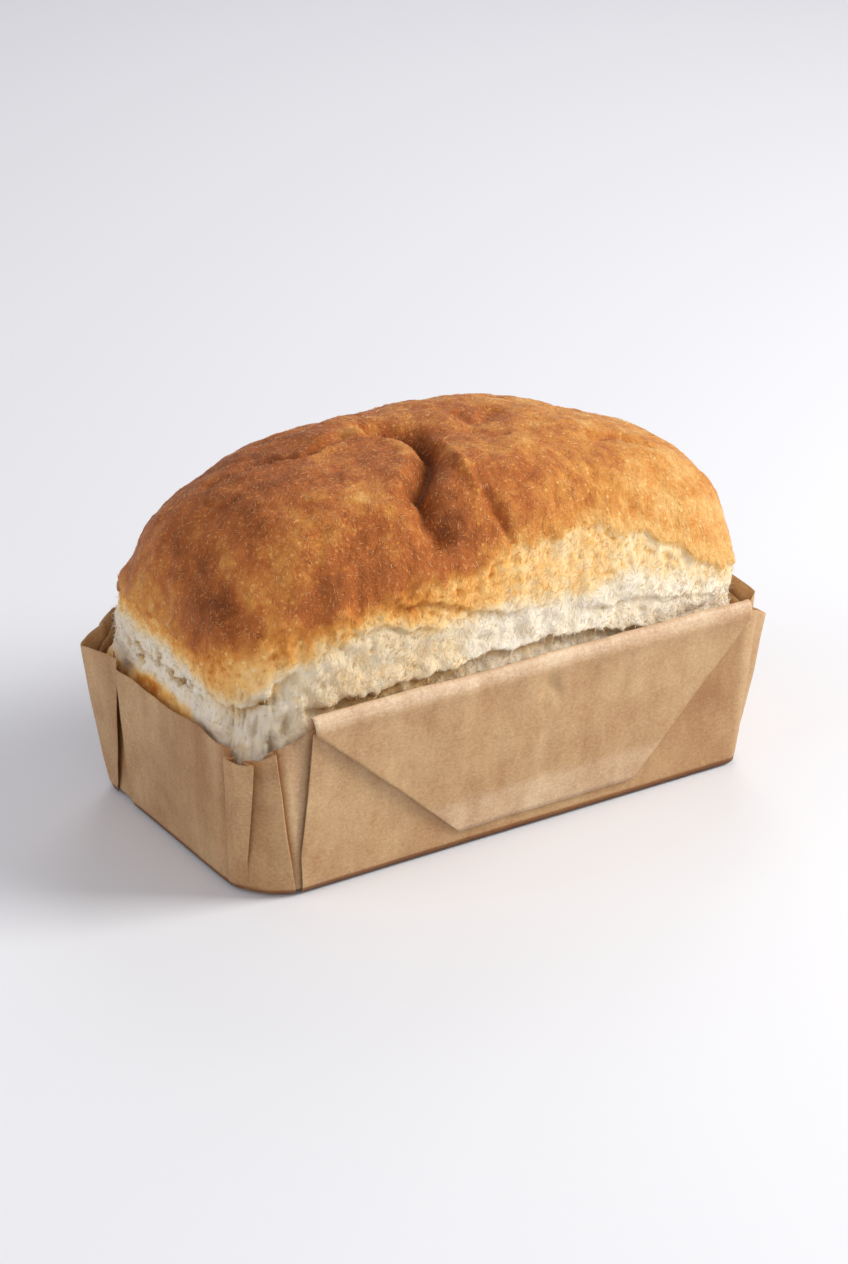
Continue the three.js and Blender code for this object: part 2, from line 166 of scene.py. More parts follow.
# Lumps of the dome: x, y, z, radius and height.
LUMPS = (
    (-62, -30, 134, 30, 2.0), (-92, 8, 122, 22, 1.6), (-24, 18, 144, 12, 2.2),
    (34, -28, 140, 34, 1.6), (80, 20, 133, 24, -1.8), (4, -44, 138, 16, 2.4),
    (-96, -50, 98, 10, 1.8), (22, 24, 143, 16, 1.0), (-46, 34, 138, 22, 0.6),
    (26, 39, 140, 10, -2.0), (-16, 43, 138, 16, -2.2), (100, -24, 119, 24, 2.2),
    (-38, 12, 144, 7, 1.6), (-6, -28, 143, 9, 1.8), (-36, -49, 132, 6, 1.2),
    (109, -45, 83, 12, 1.5), (-24, 8, 145, 3.4, 3.4), (12, 2, 145, 8, 1.4),
    (-70, 4, 138, 10, 1.0), (-14, -24, 142, 6, 0.8), (-44, -42, 132, 12, 1.0),
)
# Creases where the skin folded as the dough rose, and ridges pushed up beside them: half-width,
# depth (a ridge is below zero), and the path.
CREASES = (
    (5.6, 6.4, ((-27, 11, 144), (-17, 8, 144), (-9, 1, 145), (-7, -8, 145), (-11, -22, 144),
                (-20, -31, 141), (-28, -40, 138), (-31, -49, 132), (-28, -55, 126), (-26, -58, 121))),
    (2.2, 3.2, ((-20, 8, 144), (-10, 2, 145), (-7, -8, 145), (-11, -22, 144), (-20, -31, 141),
                (-27, -40, 138), (-29, -49, 132))),
    (4.2, -1.6, ((-24, 3, 145), (-18, -3, 145), (-17, -12, 144), (-21, -23, 142), (-30, -31, 140),
                 (-38, -40, 136))),
    (5.5, 1.0, ((-97, -1, 122), (-101, -18, 117), (-103, -32, 110), (-101, -40, 106))),
    (4.0, -1.2, ((-94, -11, 124), (-96, -22, 120), (-97, -33, 114), (-97, -43, 109))),
    (2.6, 1.4, ((-66, -59, 103), (-64, -56, 112), (-60, -52, 120))),
    (2.6, -1.0, ((-72, -58, 104), (-70, -55, 113), (-66, -50, 121))),
    (2.4, 1.2, ((-46, -61, 108), (-44, -58, 116), (-41, -53, 124))),
    (2.4, -0.9, ((-52, -60, 108), (-50, -57, 116), (-47, -52, 124))),
    (2.0, -1.5, ((-3, -2, 145), (-3, -15, 144), (-7, -32, 142), (-8, -46, 136), (-5, -52, 131))),
    (1.6, -1.1, ((-33, -42, 136), (-34, -51, 130), (-31, -57, 122))),
    (2.2, 3.2, ((-7, -47, 135), (-4, -51, 132), (-2, -56, 125), (1, -60, 116))),
    (4.2, 2.4, ((15, 6, 144), (18, -4, 144), (24, -4, 144), (33, 4, 144))),
    (3.4, 1.6, ((11, -9, 144), (15, -19, 143), (23, -22, 142))),
    (2.6, 2.2, ((-62, 14, 138), (-52, 6, 141), (-40, 7, 143), (-28, 9, 144))),
    (2.0, -1.0, ((-62, 8, 139), (-50, 2, 142), (-38, 2, 144))),
    (3.0, 2.0, ((-86, 22, 128), (-72, 15, 135), (-58, 13, 139), (-50, 7, 141))),
    (2.4, 1.5, ((54, -26, 138), (68, -27, 134), (84, -31, 127))),
    (1.3, 1.7, ((-99, -46, 101), (-97, -52, 100), (-93, -56, 97))),
    (1.2, -0.9, ((-99, -48, 103), (-96, -54, 102))),
    (3.2, 1.5, ((-60, -58, 104), (-56, -52, 120), (-46, -44, 132))),
    (3.0, 1.2, ((-80, -56, 100), (-76, -48, 117), (-66, -36, 132))),
    (2.0, 1.0, ((40, -46, 134), (52, -52, 124), (60, -57, 114))),
)

# Heights where the skin ends, where golden crumb turns pale, and up to where the side baked
# brown against the tin, at distances round the loaf from the middle of its front.
CRUST_EDGE = (
    (-327, 112), (-290, 110), (-245, 98), (-231, 90), (-208, 88), (-197, 91), (-183, 90), (-164, 91),
    (-148, 89), (-137, 89), (-121, 94), (-108, 96.5), (-96, 99.5), (-84, 102), (-70, 104), (-54, 108),
    (-40, 110), (-20, 112), (-6, 116), (20, 117), (38, 115), (56, 109), (71, 102), (86, 91),
    (97, 85), (108, 82), (120, 84), (164, 90), (208, 86), (231, 88), (260, 102), (290, 110), (327, 112),
)
GOLD_EDGE = (
    (-327, 92), (-231, 80), (-197, 80), (-164, 80), (-150, 79), (-137, 76), (-122, 73.5), (-113, 76),
    (-107, 79), (-100, 83), (-94, 88), (-87, 90), (-79, 95), (-68, 97), (-62, 99), (-45, 96),
    (-35, 94), (10, 94), (26, 92), (37, 94), (56, 95), (75, 89), (86, 84), (97, 80), (108, 77),
    (120, 78), (164, 82), (208, 80), (231, 80), (327, 92),
)
TIN_BROWNED = (
    (-327, 66), (-200, 60), (-178, 63), (-156, 62), (-137, 57), (-125, 50), (-100, 46), (0, 62),
    (327, 66),
)
# Ledges where one layer of torn crumb hangs over the next: how far it hangs out, how deep the
# crumb below sits, how far down that hollow runs, and distances and heights.
LEDGES = (
    (0.8, 2.6, 9, ((-130, 75), (-122, 73.5), (-113, 76), (-107, 79), (-100, 83), (-92, 88))),
    (0.8, 1.3, 4, ((-68, 99), (-57, 99.7), (-45, 95.8), (-33, 93))),
    (0.8, 1.3, 4, ((-50, 105.5), (-33, 102.3), (-18, 96.4), (-6, 92.5), (6, 92))),
    (1.4, 2.3, 9, ((-84, 73.5), (-60, 75), (-24, 75.5), (-9, 78), (16, 78), (31, 76.5), (46, 74),
                   (60, 72))),
    (0.6, 0.8, 5, ((30, 88), (44, 85), (60, 84.5), (74, 80), (92, 76))),
    (0.8, 1.6, 5, ((-186, 74), (-172, 71), (-158, 72), (-144, 70))),
    (1.2, 2.4, 9, ((130, 74), (164, 77), (196, 74))),
    (1.4, 2.6, 10, ((246, 76), (280, 80), (326, 78))),
    (1.2, 2.0, 8, ((-326, 84), (-290, 82), (-250, 76))),
)
# Browner and paler places of the skin: x, y, z, radius and how much browner. Some are painted
# shade along the big crease and beside a small lump, a painted highlight on that lump, and
# painted light over the brightly lit front right.
BROWNING_AND_SHADE_PATCHES = (
    (-101, 10, 117, 8, 0.05), (-104, -4, 114, 8, 0.06), (-106, -16, 110, 8, 0.07),
    (-107, -28, 106, 9, 0.07), (-97, -5, 122, 6, -0.05), (-99, -21, 118, 6, -0.06),
    (-99, -34, 114, 6, -0.05), (-103, -43, 101, 7, -0.04), (-20, -34, 141, 14, 0.05),
    (-12, 2, 145, 8, 0.03), (-48, -20, 141, 7, 0.07), (-83, -49, 115, 6, 0.04),
    (-62, -26, 137, 4, -0.06), (-50, -36, 136, 4, -0.04), (22, -6, 145, 12, 0.06),
    (-68, -46, 124, 24, -0.07), (8, -20, 143, 10, 0.04), (-102, -8, 117, 12, -0.03),
    (-9, -4, 145, 9, 0.03), (-16, -28, 142, 8, 0.04), (-22, -47, 134, 9, 0.07),
    (-22, -57, 124, 10, 0.09), (-62, 10, 139, 14, 0.08), (-112, 12, 100, 26, -0.16),
    (-92, -46, 112, 9, -0.10), (-84, -40, 122, 12, -0.08), (88, -50, 106, 26, -0.08),
    (56, -55, 116, 24, -0.07), (-70, -50, 116, 9, 0.08), (-52, -56, 112, 7, 0.08),
    (-46, -30, 138, 9, -0.06), (-24, 8, 145, 5, -0.13), (40, 10, 144, 30, -0.05),
    (-8, -5, 145, 6, 0.11), (-10, -14, 144, 6, 0.10), (-28, 2, 144, 4, 0.07),
    (-5, -26, 143, 6, -0.07),
)

gradients = np.random.default_rng(11).normal(size=(256, 3))
gradients /= np.linalg.norm(gradients, axis=1, keepdims=True)
shuffled = np.random.default_rng(12).permutation(256)


def lumpy(points, size, seed):
    """Smooth random lumps from about -1 to 1 and about size across, at each point."""
    p = np.asarray(points, float) / size + 31.7 * seed
    cell = np.floor(p).astype(int)
    f = p - cell
    ease = f**3 * (f * (f * 6 - 15) + 10)
    total = 0.0
    for corner in np.ndindex(2, 2, 2):
        c = cell + corner
        key = shuffled[(shuffled[(shuffled[c[..., 0] & 255] + c[..., 1]) & 255] + c[..., 2]) & 255]
        weight = np.prod(np.where(corner, ease, 1 - ease), axis=-1)
        total = total + weight * np.sum(gradients[key] * (f - corner), axis=-1)
    return total * 1.6


def ramp(value, low, high):
    """A smooth step from 0 at low to 1 at high."""
    t = np.clip((value - low) / (high - low), 0, 1)
    return t * t * (3 - 2 * t)


def hill(value, middle, width):
    """1 at the middle, falling smoothly to nearly 0 two widths away."""
    return np.exp(-(((value - middle) / width) ** 2))


def mound(points, centre, radius):
    """1 at the centre, falling smoothly to nearly 0 two radii away."""
    return np.exp(-np.sum((points - centre) ** 2, axis=1) / radius**2)


def at(table, places):
    """Values between the pairs of a table."""
    keys, values = np.array(table, float).T
    return np.interp(places, keys, values)


def drawn_in(z, turn):
    """How much of its reach the dome still has at height z."""
    start, power = turn
    t = np.clip((z - start) / (PEAK - start), 0, 1)
    return (1 - t**power) ** (1 / power)


def tin_size(z, foot):
    """The tin's half-length and half-width at height z, drawn in by the bend at its foot."""
    inset = foot - np.sqrt(np.maximum(foot**2 - np.clip(foot - z, 0, foot) ** 2, 0))
    a = BASE_LENGTH / 2 + z * math.tan(END_FLARE) - inset
    b = BASE_WIDTH / 2 + z * math.tan(SIDE_FLARE) - inset
    return a, b


def risen_form(qx, qy, z):
    """The smooth loaf at height z towards qx, qy: the tin's shape, and the dome above it."""
    a, b = tin_size(z, LOAF_FOOT)
    a, b = a - LOAF_INSET, b - LOAF_INSET
    rise = np.clip(z / RIM, 0, 1)
    corner = np.where(qx < 0, np.where(qy < 0, 3, 2), np.where(qy < 0, 0, 1))
    radii = np.array(CORNER_RADII, float)[corner]
    r = radii[..., 0] + (radii[..., 1] - radii[..., 0]) * rise - LOAF_INSET
    x, y = a * abs(qx), b * abs(qy)
    cx, cy = a - r, b - r
    square = np.maximum(x * x + y * y, 1e-9)
    along = x * cx + y * cy
    s = (along + np.sqrt(np.maximum(along**2 - square * (cx**2 + cy**2 - r**2), 0))) / square
    s = np.where((y <= cy) | (x <= cx), 1, s)
    low = np.stack([a * qx * s, b * qy * s], -1)
    left, right = LEFT_REACH * drawn_in(z, LEFT_TURN), RIGHT_REACH * drawn_in(z, RIGHT_TURN)
    reach = np.where(qx < 0, left, right)
    side = SIDE_REACH * drawn_in(z, SIDE_TURN)
    climb = np.clip((z - LEFT_TURN[0]) / (PEAK - LEFT_TURN[0]), 0, 1)
    n = SQUARE_AT_RIM + (SQUARE_AT_PEAK - SQUARE_AT_RIM) * climb**0.6
    t = (abs(qx) ** n + abs(qy) ** n) ** (-1 / n)
    high = np.stack([np.minimum(reach, a) * qx * t, np.minimum(side, b) * qy * t], -1)
    blend = ramp(z, HIDDEN_BELOW, RIM + 2)[..., None]
    flat = low + (high - low) * blend
    return np.concatenate([flat, np.asarray(z, float)[..., None] * np.ones_like(blend)], -1)


def round_the_side(x, y):
    """How far round the loaf a point is from the middle of the front, below zero to the left."""
    straight, half_width, bend = 96.0, 44.0, 15.0
    cx, cy = np.clip(abs(x), 0, straight), np.clip(y, -half_width, half_width)
    turned = np.arctan2(abs(x) - cx, cy - y)
    along = np.where(turned > 3, 2 * straight - cx, cx)  # above 3 the point is at the back
    return np.where(x < 0, -1, 1) * (along + bend * turned + cy + half_width)


# The skin: a grid of squares over the dome, then level rows down to the floor. Rows that
# the paper hides are far apart.
ACROSS, DEEP = 240, 132
CAP_REACH, CAP_FOOT, CAP_ROUNDING = 0.93, 85, 2.7
ROW_HEIGHTS = (*np.arange(115.6, 58.0, -0.8), 56, 52, 45, 30, 14, 7, 3.4, 1.9, 1.1)
gi, gj = np.meshgrid(np.arange(ACROSS + 1), np.arange(DEEP + 1))
gx, gy = 2 * gi / ACROSS - 1, 2 * gj / DEEP - 1
share = np.maximum(abs(gx), abs(gy))
safe = np.where(share == 0, 1, share)
level = (1 - (share * CAP_REACH) ** CAP_ROUNDING) ** (1 / CAP_ROUNDING)
level = CAP_FOOT + (PEAK - CAP_FOOT) * level
cap = risen_form(gx / safe, gy / safe, level)
cap[share == 0] = (0, 0, PEAK)
grid_ids = np.arange((ACROSS + 1) * (DEEP + 1)).reshape(DEEP + 1, ACROSS + 1)
rim_ids = np.concatenate(
    [grid_ids[0, :-1], grid_ids[:-1, -1], grid_ids[-1, :0:-1], grid_ids[:0:-1, 0]]
)
rim_x, rim_y = gx.ravel()[rim_ids], gy.ravel()[rim_ids]
around = len(rim_ids)
rows = [risen_form(rim_x, rim_y, np.full(around, z)) for z in ROW_HEIGHTS]
form = np.concatenate([cap.reshape(-1, 3), *rows, [[0, 0, ROW_HEIGHTS[-1]]]])
corners = (grid_ids[:-1, :-1], grid_ids[:-1, 1:], grid_ids[1:, 1:], grid_ids[1:, :-1])
quads = [np.stack(corners, -1).reshape(-1, 4)]
upper = rim_ids
for k in range(len(ROW_HEIGHTS)):
    lower = grid_ids.size + k * around + np.arange(around)
    quads.append(np.stack([lower, np.roll(lower, -1), np.roll(upper, -1), upper], -1))
    upper = lower
quads = np.concatenate(quads)
fan = np.stack([upper, np.full(around, len(form) - 1), np.roll(upper, -1)], -1)


def outward(points):
    """Vertex normals of the loaf's skin."""
    normals = np.zeros_like(points)
    one_way = points[quads[:, 2]] - points[quads[:, 0]]
    other_way = points[quads[:, 3]] - points[quads[:, 1]]
    cross = np.cross(one_way, other_way)
    for k in range(4):
        np.add.at(normals, quads[:, k], cross)
    normals[-1] = (0, 0, -1)
    return normals / np.maximum(np.linalg.norm(normals, axis=1, keepdims=True), 1e-9)


def from_path(points, path):
    """Distance to a path, and how far along it from 0 to 1 the nearest spot is."""
    path = np.array(path, float)
    best = np.full(len(points), np.inf)
    where = np.zeros(len(points))
    for k in range(len(path) - 1):
        step = path[k + 1] - path[k]
        t = np.clip((points - path[k]) @ step / (step @ step), 0, 1)
        d = np.linalg.norm(points - path[k] - t[:, None] * step, axis=1)
        where = np.where(d < best, (k + t) / (len(path) - 1), where)
        best = np.minimum(best, d)
    return best, where


x, y, z = form.T
normals = outward(form)
round_at = round_the_side(x, y)
bare = ramp(z, HIDDEN_BELOW, RIM - 8)
upright = form * (1, 1, 0.3)  # lumps made from this are pulled upright

# Big lumps, folded creases and ridges. A crease fades out towards its ends.
height = np.zeros(len(form))
for *centre, radius, lift in LUMPS:
    height += lift * mound(form, centre, radius)
# Masks kept for the colour: painted shade in the creases and a painted highlight on the ridges.
crease_shade = np.zeros(len(form))
ridge_highlight = np.zeros(len(form))
wander = form + 1.4 * np.stack([lumpy(form, 9, 3), lumpy(form, 9, 4), 0 * z], -1)
for width, depth, path in CREASES:
    d, where = from_path(wander, path)
    valley = hill(d, 0, width) * ramp(where, -0.02, 0.12) * ramp(1 - where, -0.02, 0.1)
    height -= depth * valley
    if depth > 0:
        crease_shade = np.maximum(crease_shade, valley * min(1, depth / 3))
    else:
        ridge_highlight = np.maximum(ridge_highlight, valley)
skin_lumps = 1.1 * lumpy(form, 42, 1) + 1.1 * lumpy(form, 19, 2) + 0.75 * lumpy(form, 9, 5)
skin_lumps += 1.0 * lumpy(upright, 10, 27) * ramp(-z, -136, -108) + 0.28 * lumpy(form, 4, 28)
blisters = ramp(lumpy(form, 3.2, 29), 0.45, 0.8)
# Thin wandering lines near the top, where the drying skin drew together.
puckers = hill(lumpy(wander, 19, 43), 0, 0.075)
puckers = puckers * ramp(z, 118, 130) * ramp(lumpy(form, 26, 44), -0.2, 0.25)

# Where the skin ends. To the right it tore off sharply, to the left it thins out softly,
# softest at the near left corner. Places round the side: that corner, and the left end's middle.
LEFT_CORNER, LEFT_END = -108, -168
softness = 1.3 + 3.0 * ramp(-round_at, -20, 50) * ramp(-abs(round_at), -200, -150)
softness += 3.5 * hill(round_at, LEFT_CORNER, 18)
jagged = 3.0 * lumpy(upright, 15, 6) + 2.6 * lumpy(upright, 6.5, 7) + 2.0 * lumpy(upright, 2.8, 8)
above_edge = z - at(CRUST_EDGE, round_at) - jagged
above_gold = z - at(GOLD_EDGE, round_at) - 2.6 * lumpy(upright, 13, 9) - 1.8 * lumpy(form, 5, 10)
torn = 1 - ramp(above_edge, -softness, 0.8 * softness)
pale = 1 - ramp(above_gold, -4.5, 4.5)
height += skin_lumps * (1 - 0.5 * torn) + (0.16 * blisters - 0.6 * puckers) * (1 - torn)
height += 0.5 * hill(above_edge, 2.2, 2.0) - 1.1 * torn - 0.5 * pale * torn

# Pulled crumb: upright threads, soft curds, ledges, and pores that are widest at the left end.
near_corner = hill(round_at, LEFT_CORNER, 20) * ramp(-z, -84, -78)
stretched = form * (1, 1, 0.45)
curds = 1.25 * lumpy(form * (1, 1, 0.85), 8, 14) + 0.75 * lumpy(form * (1, 1, 0.8), 3.7, 15)
threads = 0.9 * lumpy(stretched, 6.5, 39) + 0.55 * lumpy(upright, 2.6, 13) + 0.4 * lumpy(form, 3, 40)
crumb = pale * curds + (1 - pale) * threads + 0.15 * lumpy(form, 1.9, 41)
corner_threads = 2.0 * lumpy(form * (1, 1, 0.25), 3.0, 33) + 1.4 * lumpy(stretched, 5.5, 36)
# Painted shade between the near corner's threads, used only for the colour.
thread_gap_shade = near_corner * ramp(-corner_threads, 0.1, 1.3)
crumb += near_corner * (corner_threads + 0.8 * lumpy(form * (1, 1, 0.3), 1.9, 42) - 0.4)
# Painted shadow under each ledge's lip, used only for the colour.
ledge_shadow = np.zeros(len(form))
for hang, sunk, run, path in LEDGES:
    first, last = path[0][0], path[-1][0]
    reach = ramp(round_at, first - 5, first + 7) * ramp(-round_at, -last - 5, 7 - last)
    above = z - at(path, round_at) - 2.2 * lumpy(form, 11, 16)
    above = above - 0.8 * lumpy(form, 3.5, 17) - 1.1 * lumpy(upright, 2.3, 45)
    drop = ramp(-above, -0.2, 1.2)
    broken = reach * ramp(lumpy(upright, 16, 18), -0.7, -0.2)
    lip = hang * hill(np.maximum(above, 0), 0, 3.5) * (1 - drop)
    hollow = drop * hill(above, 0, run)
    height += broken * (lip - sunk * hollow)
    shadow = broken * drop * hill(above, 0, 0.4 * run) * min(1, sunk / 2.5)
    ledge_shadow = np.maximum(ledge_shadow, shadow)
pore_line = np.exp(-(((z - 71 - 2.5 * lumpy(form, 18, 30)) / 3.6) ** 4))
pore_line = pore_line * ramp(-abs(round_at - LEFT_END), -36, -24)
pores = ramp(lumpy(form * (1, 0.65, 1.2), 3.6, 19), 0.42 - 0.34 * pore_line, 0.62 - 0.46 * pore_line)
height += torn * (crumb - (0.8 + 3.0 * pore_line) * pores)
loaf_points = form + normals * (height * bare)[:, None]

# How brown each spot looks, from 0 for white crumb to 1 for the darkest crust: the baked
# colour with painted shade and painted light added in places.
PALEST_SKIN, TIN_BROWN, DARKEST_SKIN = 0.42, 0.54, 0.85
skin = 0.63 - 0.0011 * x + 0.06 * lumpy(form, 30, 21)
skin = skin + 0.08 * lumpy(form, 12, 22) + 0.08 * lumpy(form, 5, 23)
for *centre, radius, change in BROWNING_AND_SHADE_PATCHES:
    skin += change * mound(form, centre, radius)
thin_edge = 0.10 * hill(above_edge, 0, 6)
# Painted shade darkens the creases and puckers, and a painted highlight pales the ridges; blisters and
# the skin's thin edge are paler.
skin += 0.08 * crease_shade + 0.05 * puckers - 0.06 * ridge_highlight - 0.05 * blisters - thin_edge
skin = np.clip(skin, PALEST_SKIN, DARKEST_SKIN)
# The torn side is gold at the top, more so to the left of the middle, and pale further down.
# Painted shade darkens it under ledges, in pores and between the near corner's threads, and it
# is browner where it lay against the tin.
gold = 0.28 + 0.08 * lumpy(upright, 7, 24) + 0.07 * lumpy(form, 2.8, 25)
left_side = ramp(-round_at, -20, 50) * ramp(round_at, -310, -240)
gold += 0.02 - 0.07 * ramp(round_at, 30, 80) + 0.2 * left_side * ramp(above_gold, -3, 9)
gold -= 0.17 * hill(round_at, LEFT_CORNER - 2, 14)
crumb_tone = 0.06 + 0.06 * lumpy(form, 7, 26) + 0.11 * ramp(-abs(round_at + 54), -46, -16)
side = crumb_tone * pale + gold * (1 - pale)
# Painted shade under ledges, in pores and between the corner's threads.
side += 0.24 * ledge_shadow + (0.07 + 0.32 * pore_line) * pores + 0.06 * thread_gap_shade
tin_browned = 1 - ramp(z - at(TIN_BROWNED, round_at) + 2.0 * lumpy(form, 8, 20), -3.5, 3.0)
side = side + (TIN_BROWN - side) * tin_browned * (0.85 + 0.4 * lumpy(form, 7, 34))
browning_and_shade = np.clip(side * torn + skin * (1 - torn), 0, 1)


def make_mesh(name, points, faces):
    """A smooth-shaded mesh object in metres from points in millimetres."""
    mesh = bpy.data.meshes.new(name)
    mesh.from_pydata((np.asarray(points) * MM).tolist(), [], [list(map(int, f)) for f in faces])
    mesh.validate()
    mesh.polygons.foreach_set("use_smooth", [True] * len(mesh.polygons))
    piece = bpy.data.objects.new(name, mesh)
    bpy.context.scene.collection.objects.link(piece)
    return piece


def paint(piece, name, values):
    """A number for each vertex, that a material or a node tree can read by name."""
    layer = piece.data.attributes.new(name, "FLOAT", "POINT")
    layer.data.foreach_set("value", np.asarray(values, dtype=np.float32))


loaf = make_mesh("baked_loaf", loaf_points, [*quads, *fan])
paint(loaf, "browning_and_shade", browning_and_shade)
paint(loaf, "torn", torn * bare)
# Painted shade on the crumb: most in wide pores, less between the near corner's threads, under
# ledges and over the near corner, and a little over the front's left part.
front_left = 0.35 * ramp(-round_at, 10, 60) * ramp(round_at, -110, -80)
crumb_shade = 0.15 * near_corner + 0.5 * thread_gap_shade + 0.5 * front_left + 0.35 * ledge_shadow + 0.8 * pore_line * pores
paint(loaf, "crumb_shade", np.clip(crumb_shade, 0, 1) * torn)

# Baked wheat crust over crumb: satin brown skin with fine blisters and pale specks, and
# matt, slightly see-through crumb that scatters light. The numbers below say how often each
# pattern repeats in a metre: mottling 2.4 mm across, specks and wrinkles 3 mm, grain 1.1 mm.
MOTTLING, SPECKS, WRINKLES, GRAIN = 420, 330, 330, 900
BAKE_COLOURS = (
    (0.0, "#ece2d2"), (0.12, "#eddcbd"), (0.24, "#f1d3a0"), (0.38, "#f0bf74"), (0.52, "#dc9342"),
    (0.66, "#ba672a"), (0.80, "#964f1d"), (0.92, "#6f3a19"), (1.0, "#4b2917"),
)
bread, tree = new_material("baked_wheat_crust")
spot = add_node(tree, "ShaderNodeTexCoord").outputs["Object"]
browning_and_shade_read = add_node(tree, "ShaderNodeAttribute", {"attribute_name": "browning_and_shade"}).outputs["Fac"]
torn_read = add_node(tree, "ShaderNodeAttribute", {"attribute_name": "torn"}).outputs["Fac"]
mottle = add_node(
    tree, "ShaderNodeTexNoise",
    links={"Vector": spot, "Scale": MOTTLING, "Detail": 5, "Roughness": 0.75},
)
mottled = add_node(
    tree, "ShaderNodeMath", {"operation": "MULTIPLY_ADD"},
    {0: mottle.outputs["Fac"], 1: 0.32, 2: -0.16},
)
speck_cells = add_node(tree, "ShaderNodeTexVoronoi", links={"Vector": spot, "Scale": SPECKS})
speck = add_node(
    tree,
    "ShaderNodeMapRange",
    links={
        "Value": speck_cells.outputs["Distance"],
        "From Min": 0.10, "From Max": 0.26, "To Min": -0.13, "To Max": 0.0,
    },
)
tone = add_node(tree, "ShaderNodeMath", {"operation": "ADD"}, {0: browning_and_shade_read, 1: mottled.outputs[0]})
tone = add_node(
    tree, "ShaderNodeMath", {"operation": "ADD", "use_clamp": True},
    {0: tone.outputs[0], 1: speck.outputs["Result"]},
)
bake_colours = add_node(tree, "ShaderNodeValToRGB", links={"Fac": tone.outputs[0]})
crumb_shade_read = add_node(tree, "ShaderNodeAttribute", {"attribute_name": "crumb_shade"}).outputs["Fac"]
# The painted crumb shade multiplies the colour towards a grey brown.
bread_colour = add_node(
    tree, "ShaderNodeMix", {"data_type": "RGBA", "blend_type": "MULTIPLY"},
    {0: crumb_shade_read, 6: bake_colours.outputs["Color"], 7: linear("#a08b6c")},
)
stops = bake_colours.color_ramp.elements
for place, colour in BAKE_COLOURS:
    stop = stops[0] if place == 0.0 else (stops[-1] if place == 1.0 else stops.new(place))
    stop.color = linear(colour)
# Each pair of limits below is for whole skin and for torn crumb.
roughness = add_node(
    tree, "ShaderNodeMapRange", links={"Value": torn_read, "To Min": 0.46, "To Max": 0.85}
)
scatter = add_node(
    tree, "ShaderNodeMapRange", links={"Value": torn_read, "To Min": 0.03, "To Max": 0.22}
)
grain = add_node(
    tree, "ShaderNodeTexNoise",
    links={"Vector": spot, "Scale": GRAIN, "Detail": 4, "Roughness": 0.65},
)
pulled = add_node(tree, "ShaderNodeMapping", links={"Vector": spot, "Scale": (1.0, 1.0, 0.5)})
wrinkles = add_node(
    tree, "ShaderNodeTexNoise",
    links={
        "Vector": pulled.outputs[0], "Scale": WRINKLES,
        "Detail": 3, "Roughness": 0.6, "Distortion": 0.6,
    },
)
wrinkle_depth = add_node(
    tree, "ShaderNodeMapRange", links={"Value": torn_read, "To Min": 0.75, "To Max": 0.35}
)
wrinkle_bump = add_node(
    tree, "ShaderNodeBump",
    links={
        "Height": wrinkles.outputs["Fac"], "Strength": wrinkle_depth.outputs["Result"],
        "Distance": 0.0022,
    },
)
grain_depth = add_node(
    tree, "ShaderNodeMapRange", links={"Value": torn_read, "To Min": 1.0, "To Max": 0.45}
)
bump = add_node(
    tree, "ShaderNodeBump",
    links={
        "Height": grain.outputs["Fac"], "Strength": grain_depth.outputs["Result"],
        "Distance": 0.001, "Normal": wrinkle_bump.outputs["Normal"],
    },
)
bread_shader = add_node(
    tree,
    "ShaderNodeBsdfPrincipled",
    links={
        "Base Color": bread_colour.outputs[2],
        "Roughness": roughness.outputs["Result"],
        "IOR": 1.4,
        "Specular IOR Level": 0.32,
        "Subsurface Weight": scatter.outputs["Result"],
        "Subsurface Radius": (1.0, 0.6, 0.35),
        "Subsurface Scale": 0.0013,
        "Normal": bump.outputs["Normal"],
    },
)
add_node(tree, "ShaderNodeOutputMaterial", links={"Surface": bread_shader.outputs[0]})
loaf.data.materials.append(bread)
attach(loaf, "root")
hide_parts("loaf")


# ---- Crumb threads and crust flecks -------------------------------------------------------
# Fine strands of pulled gluten stand on the torn crumb, and short dry flecks of flour and
# bran lie baked onto the skin. Each is a thin tapered splinter set on the bread's surface.


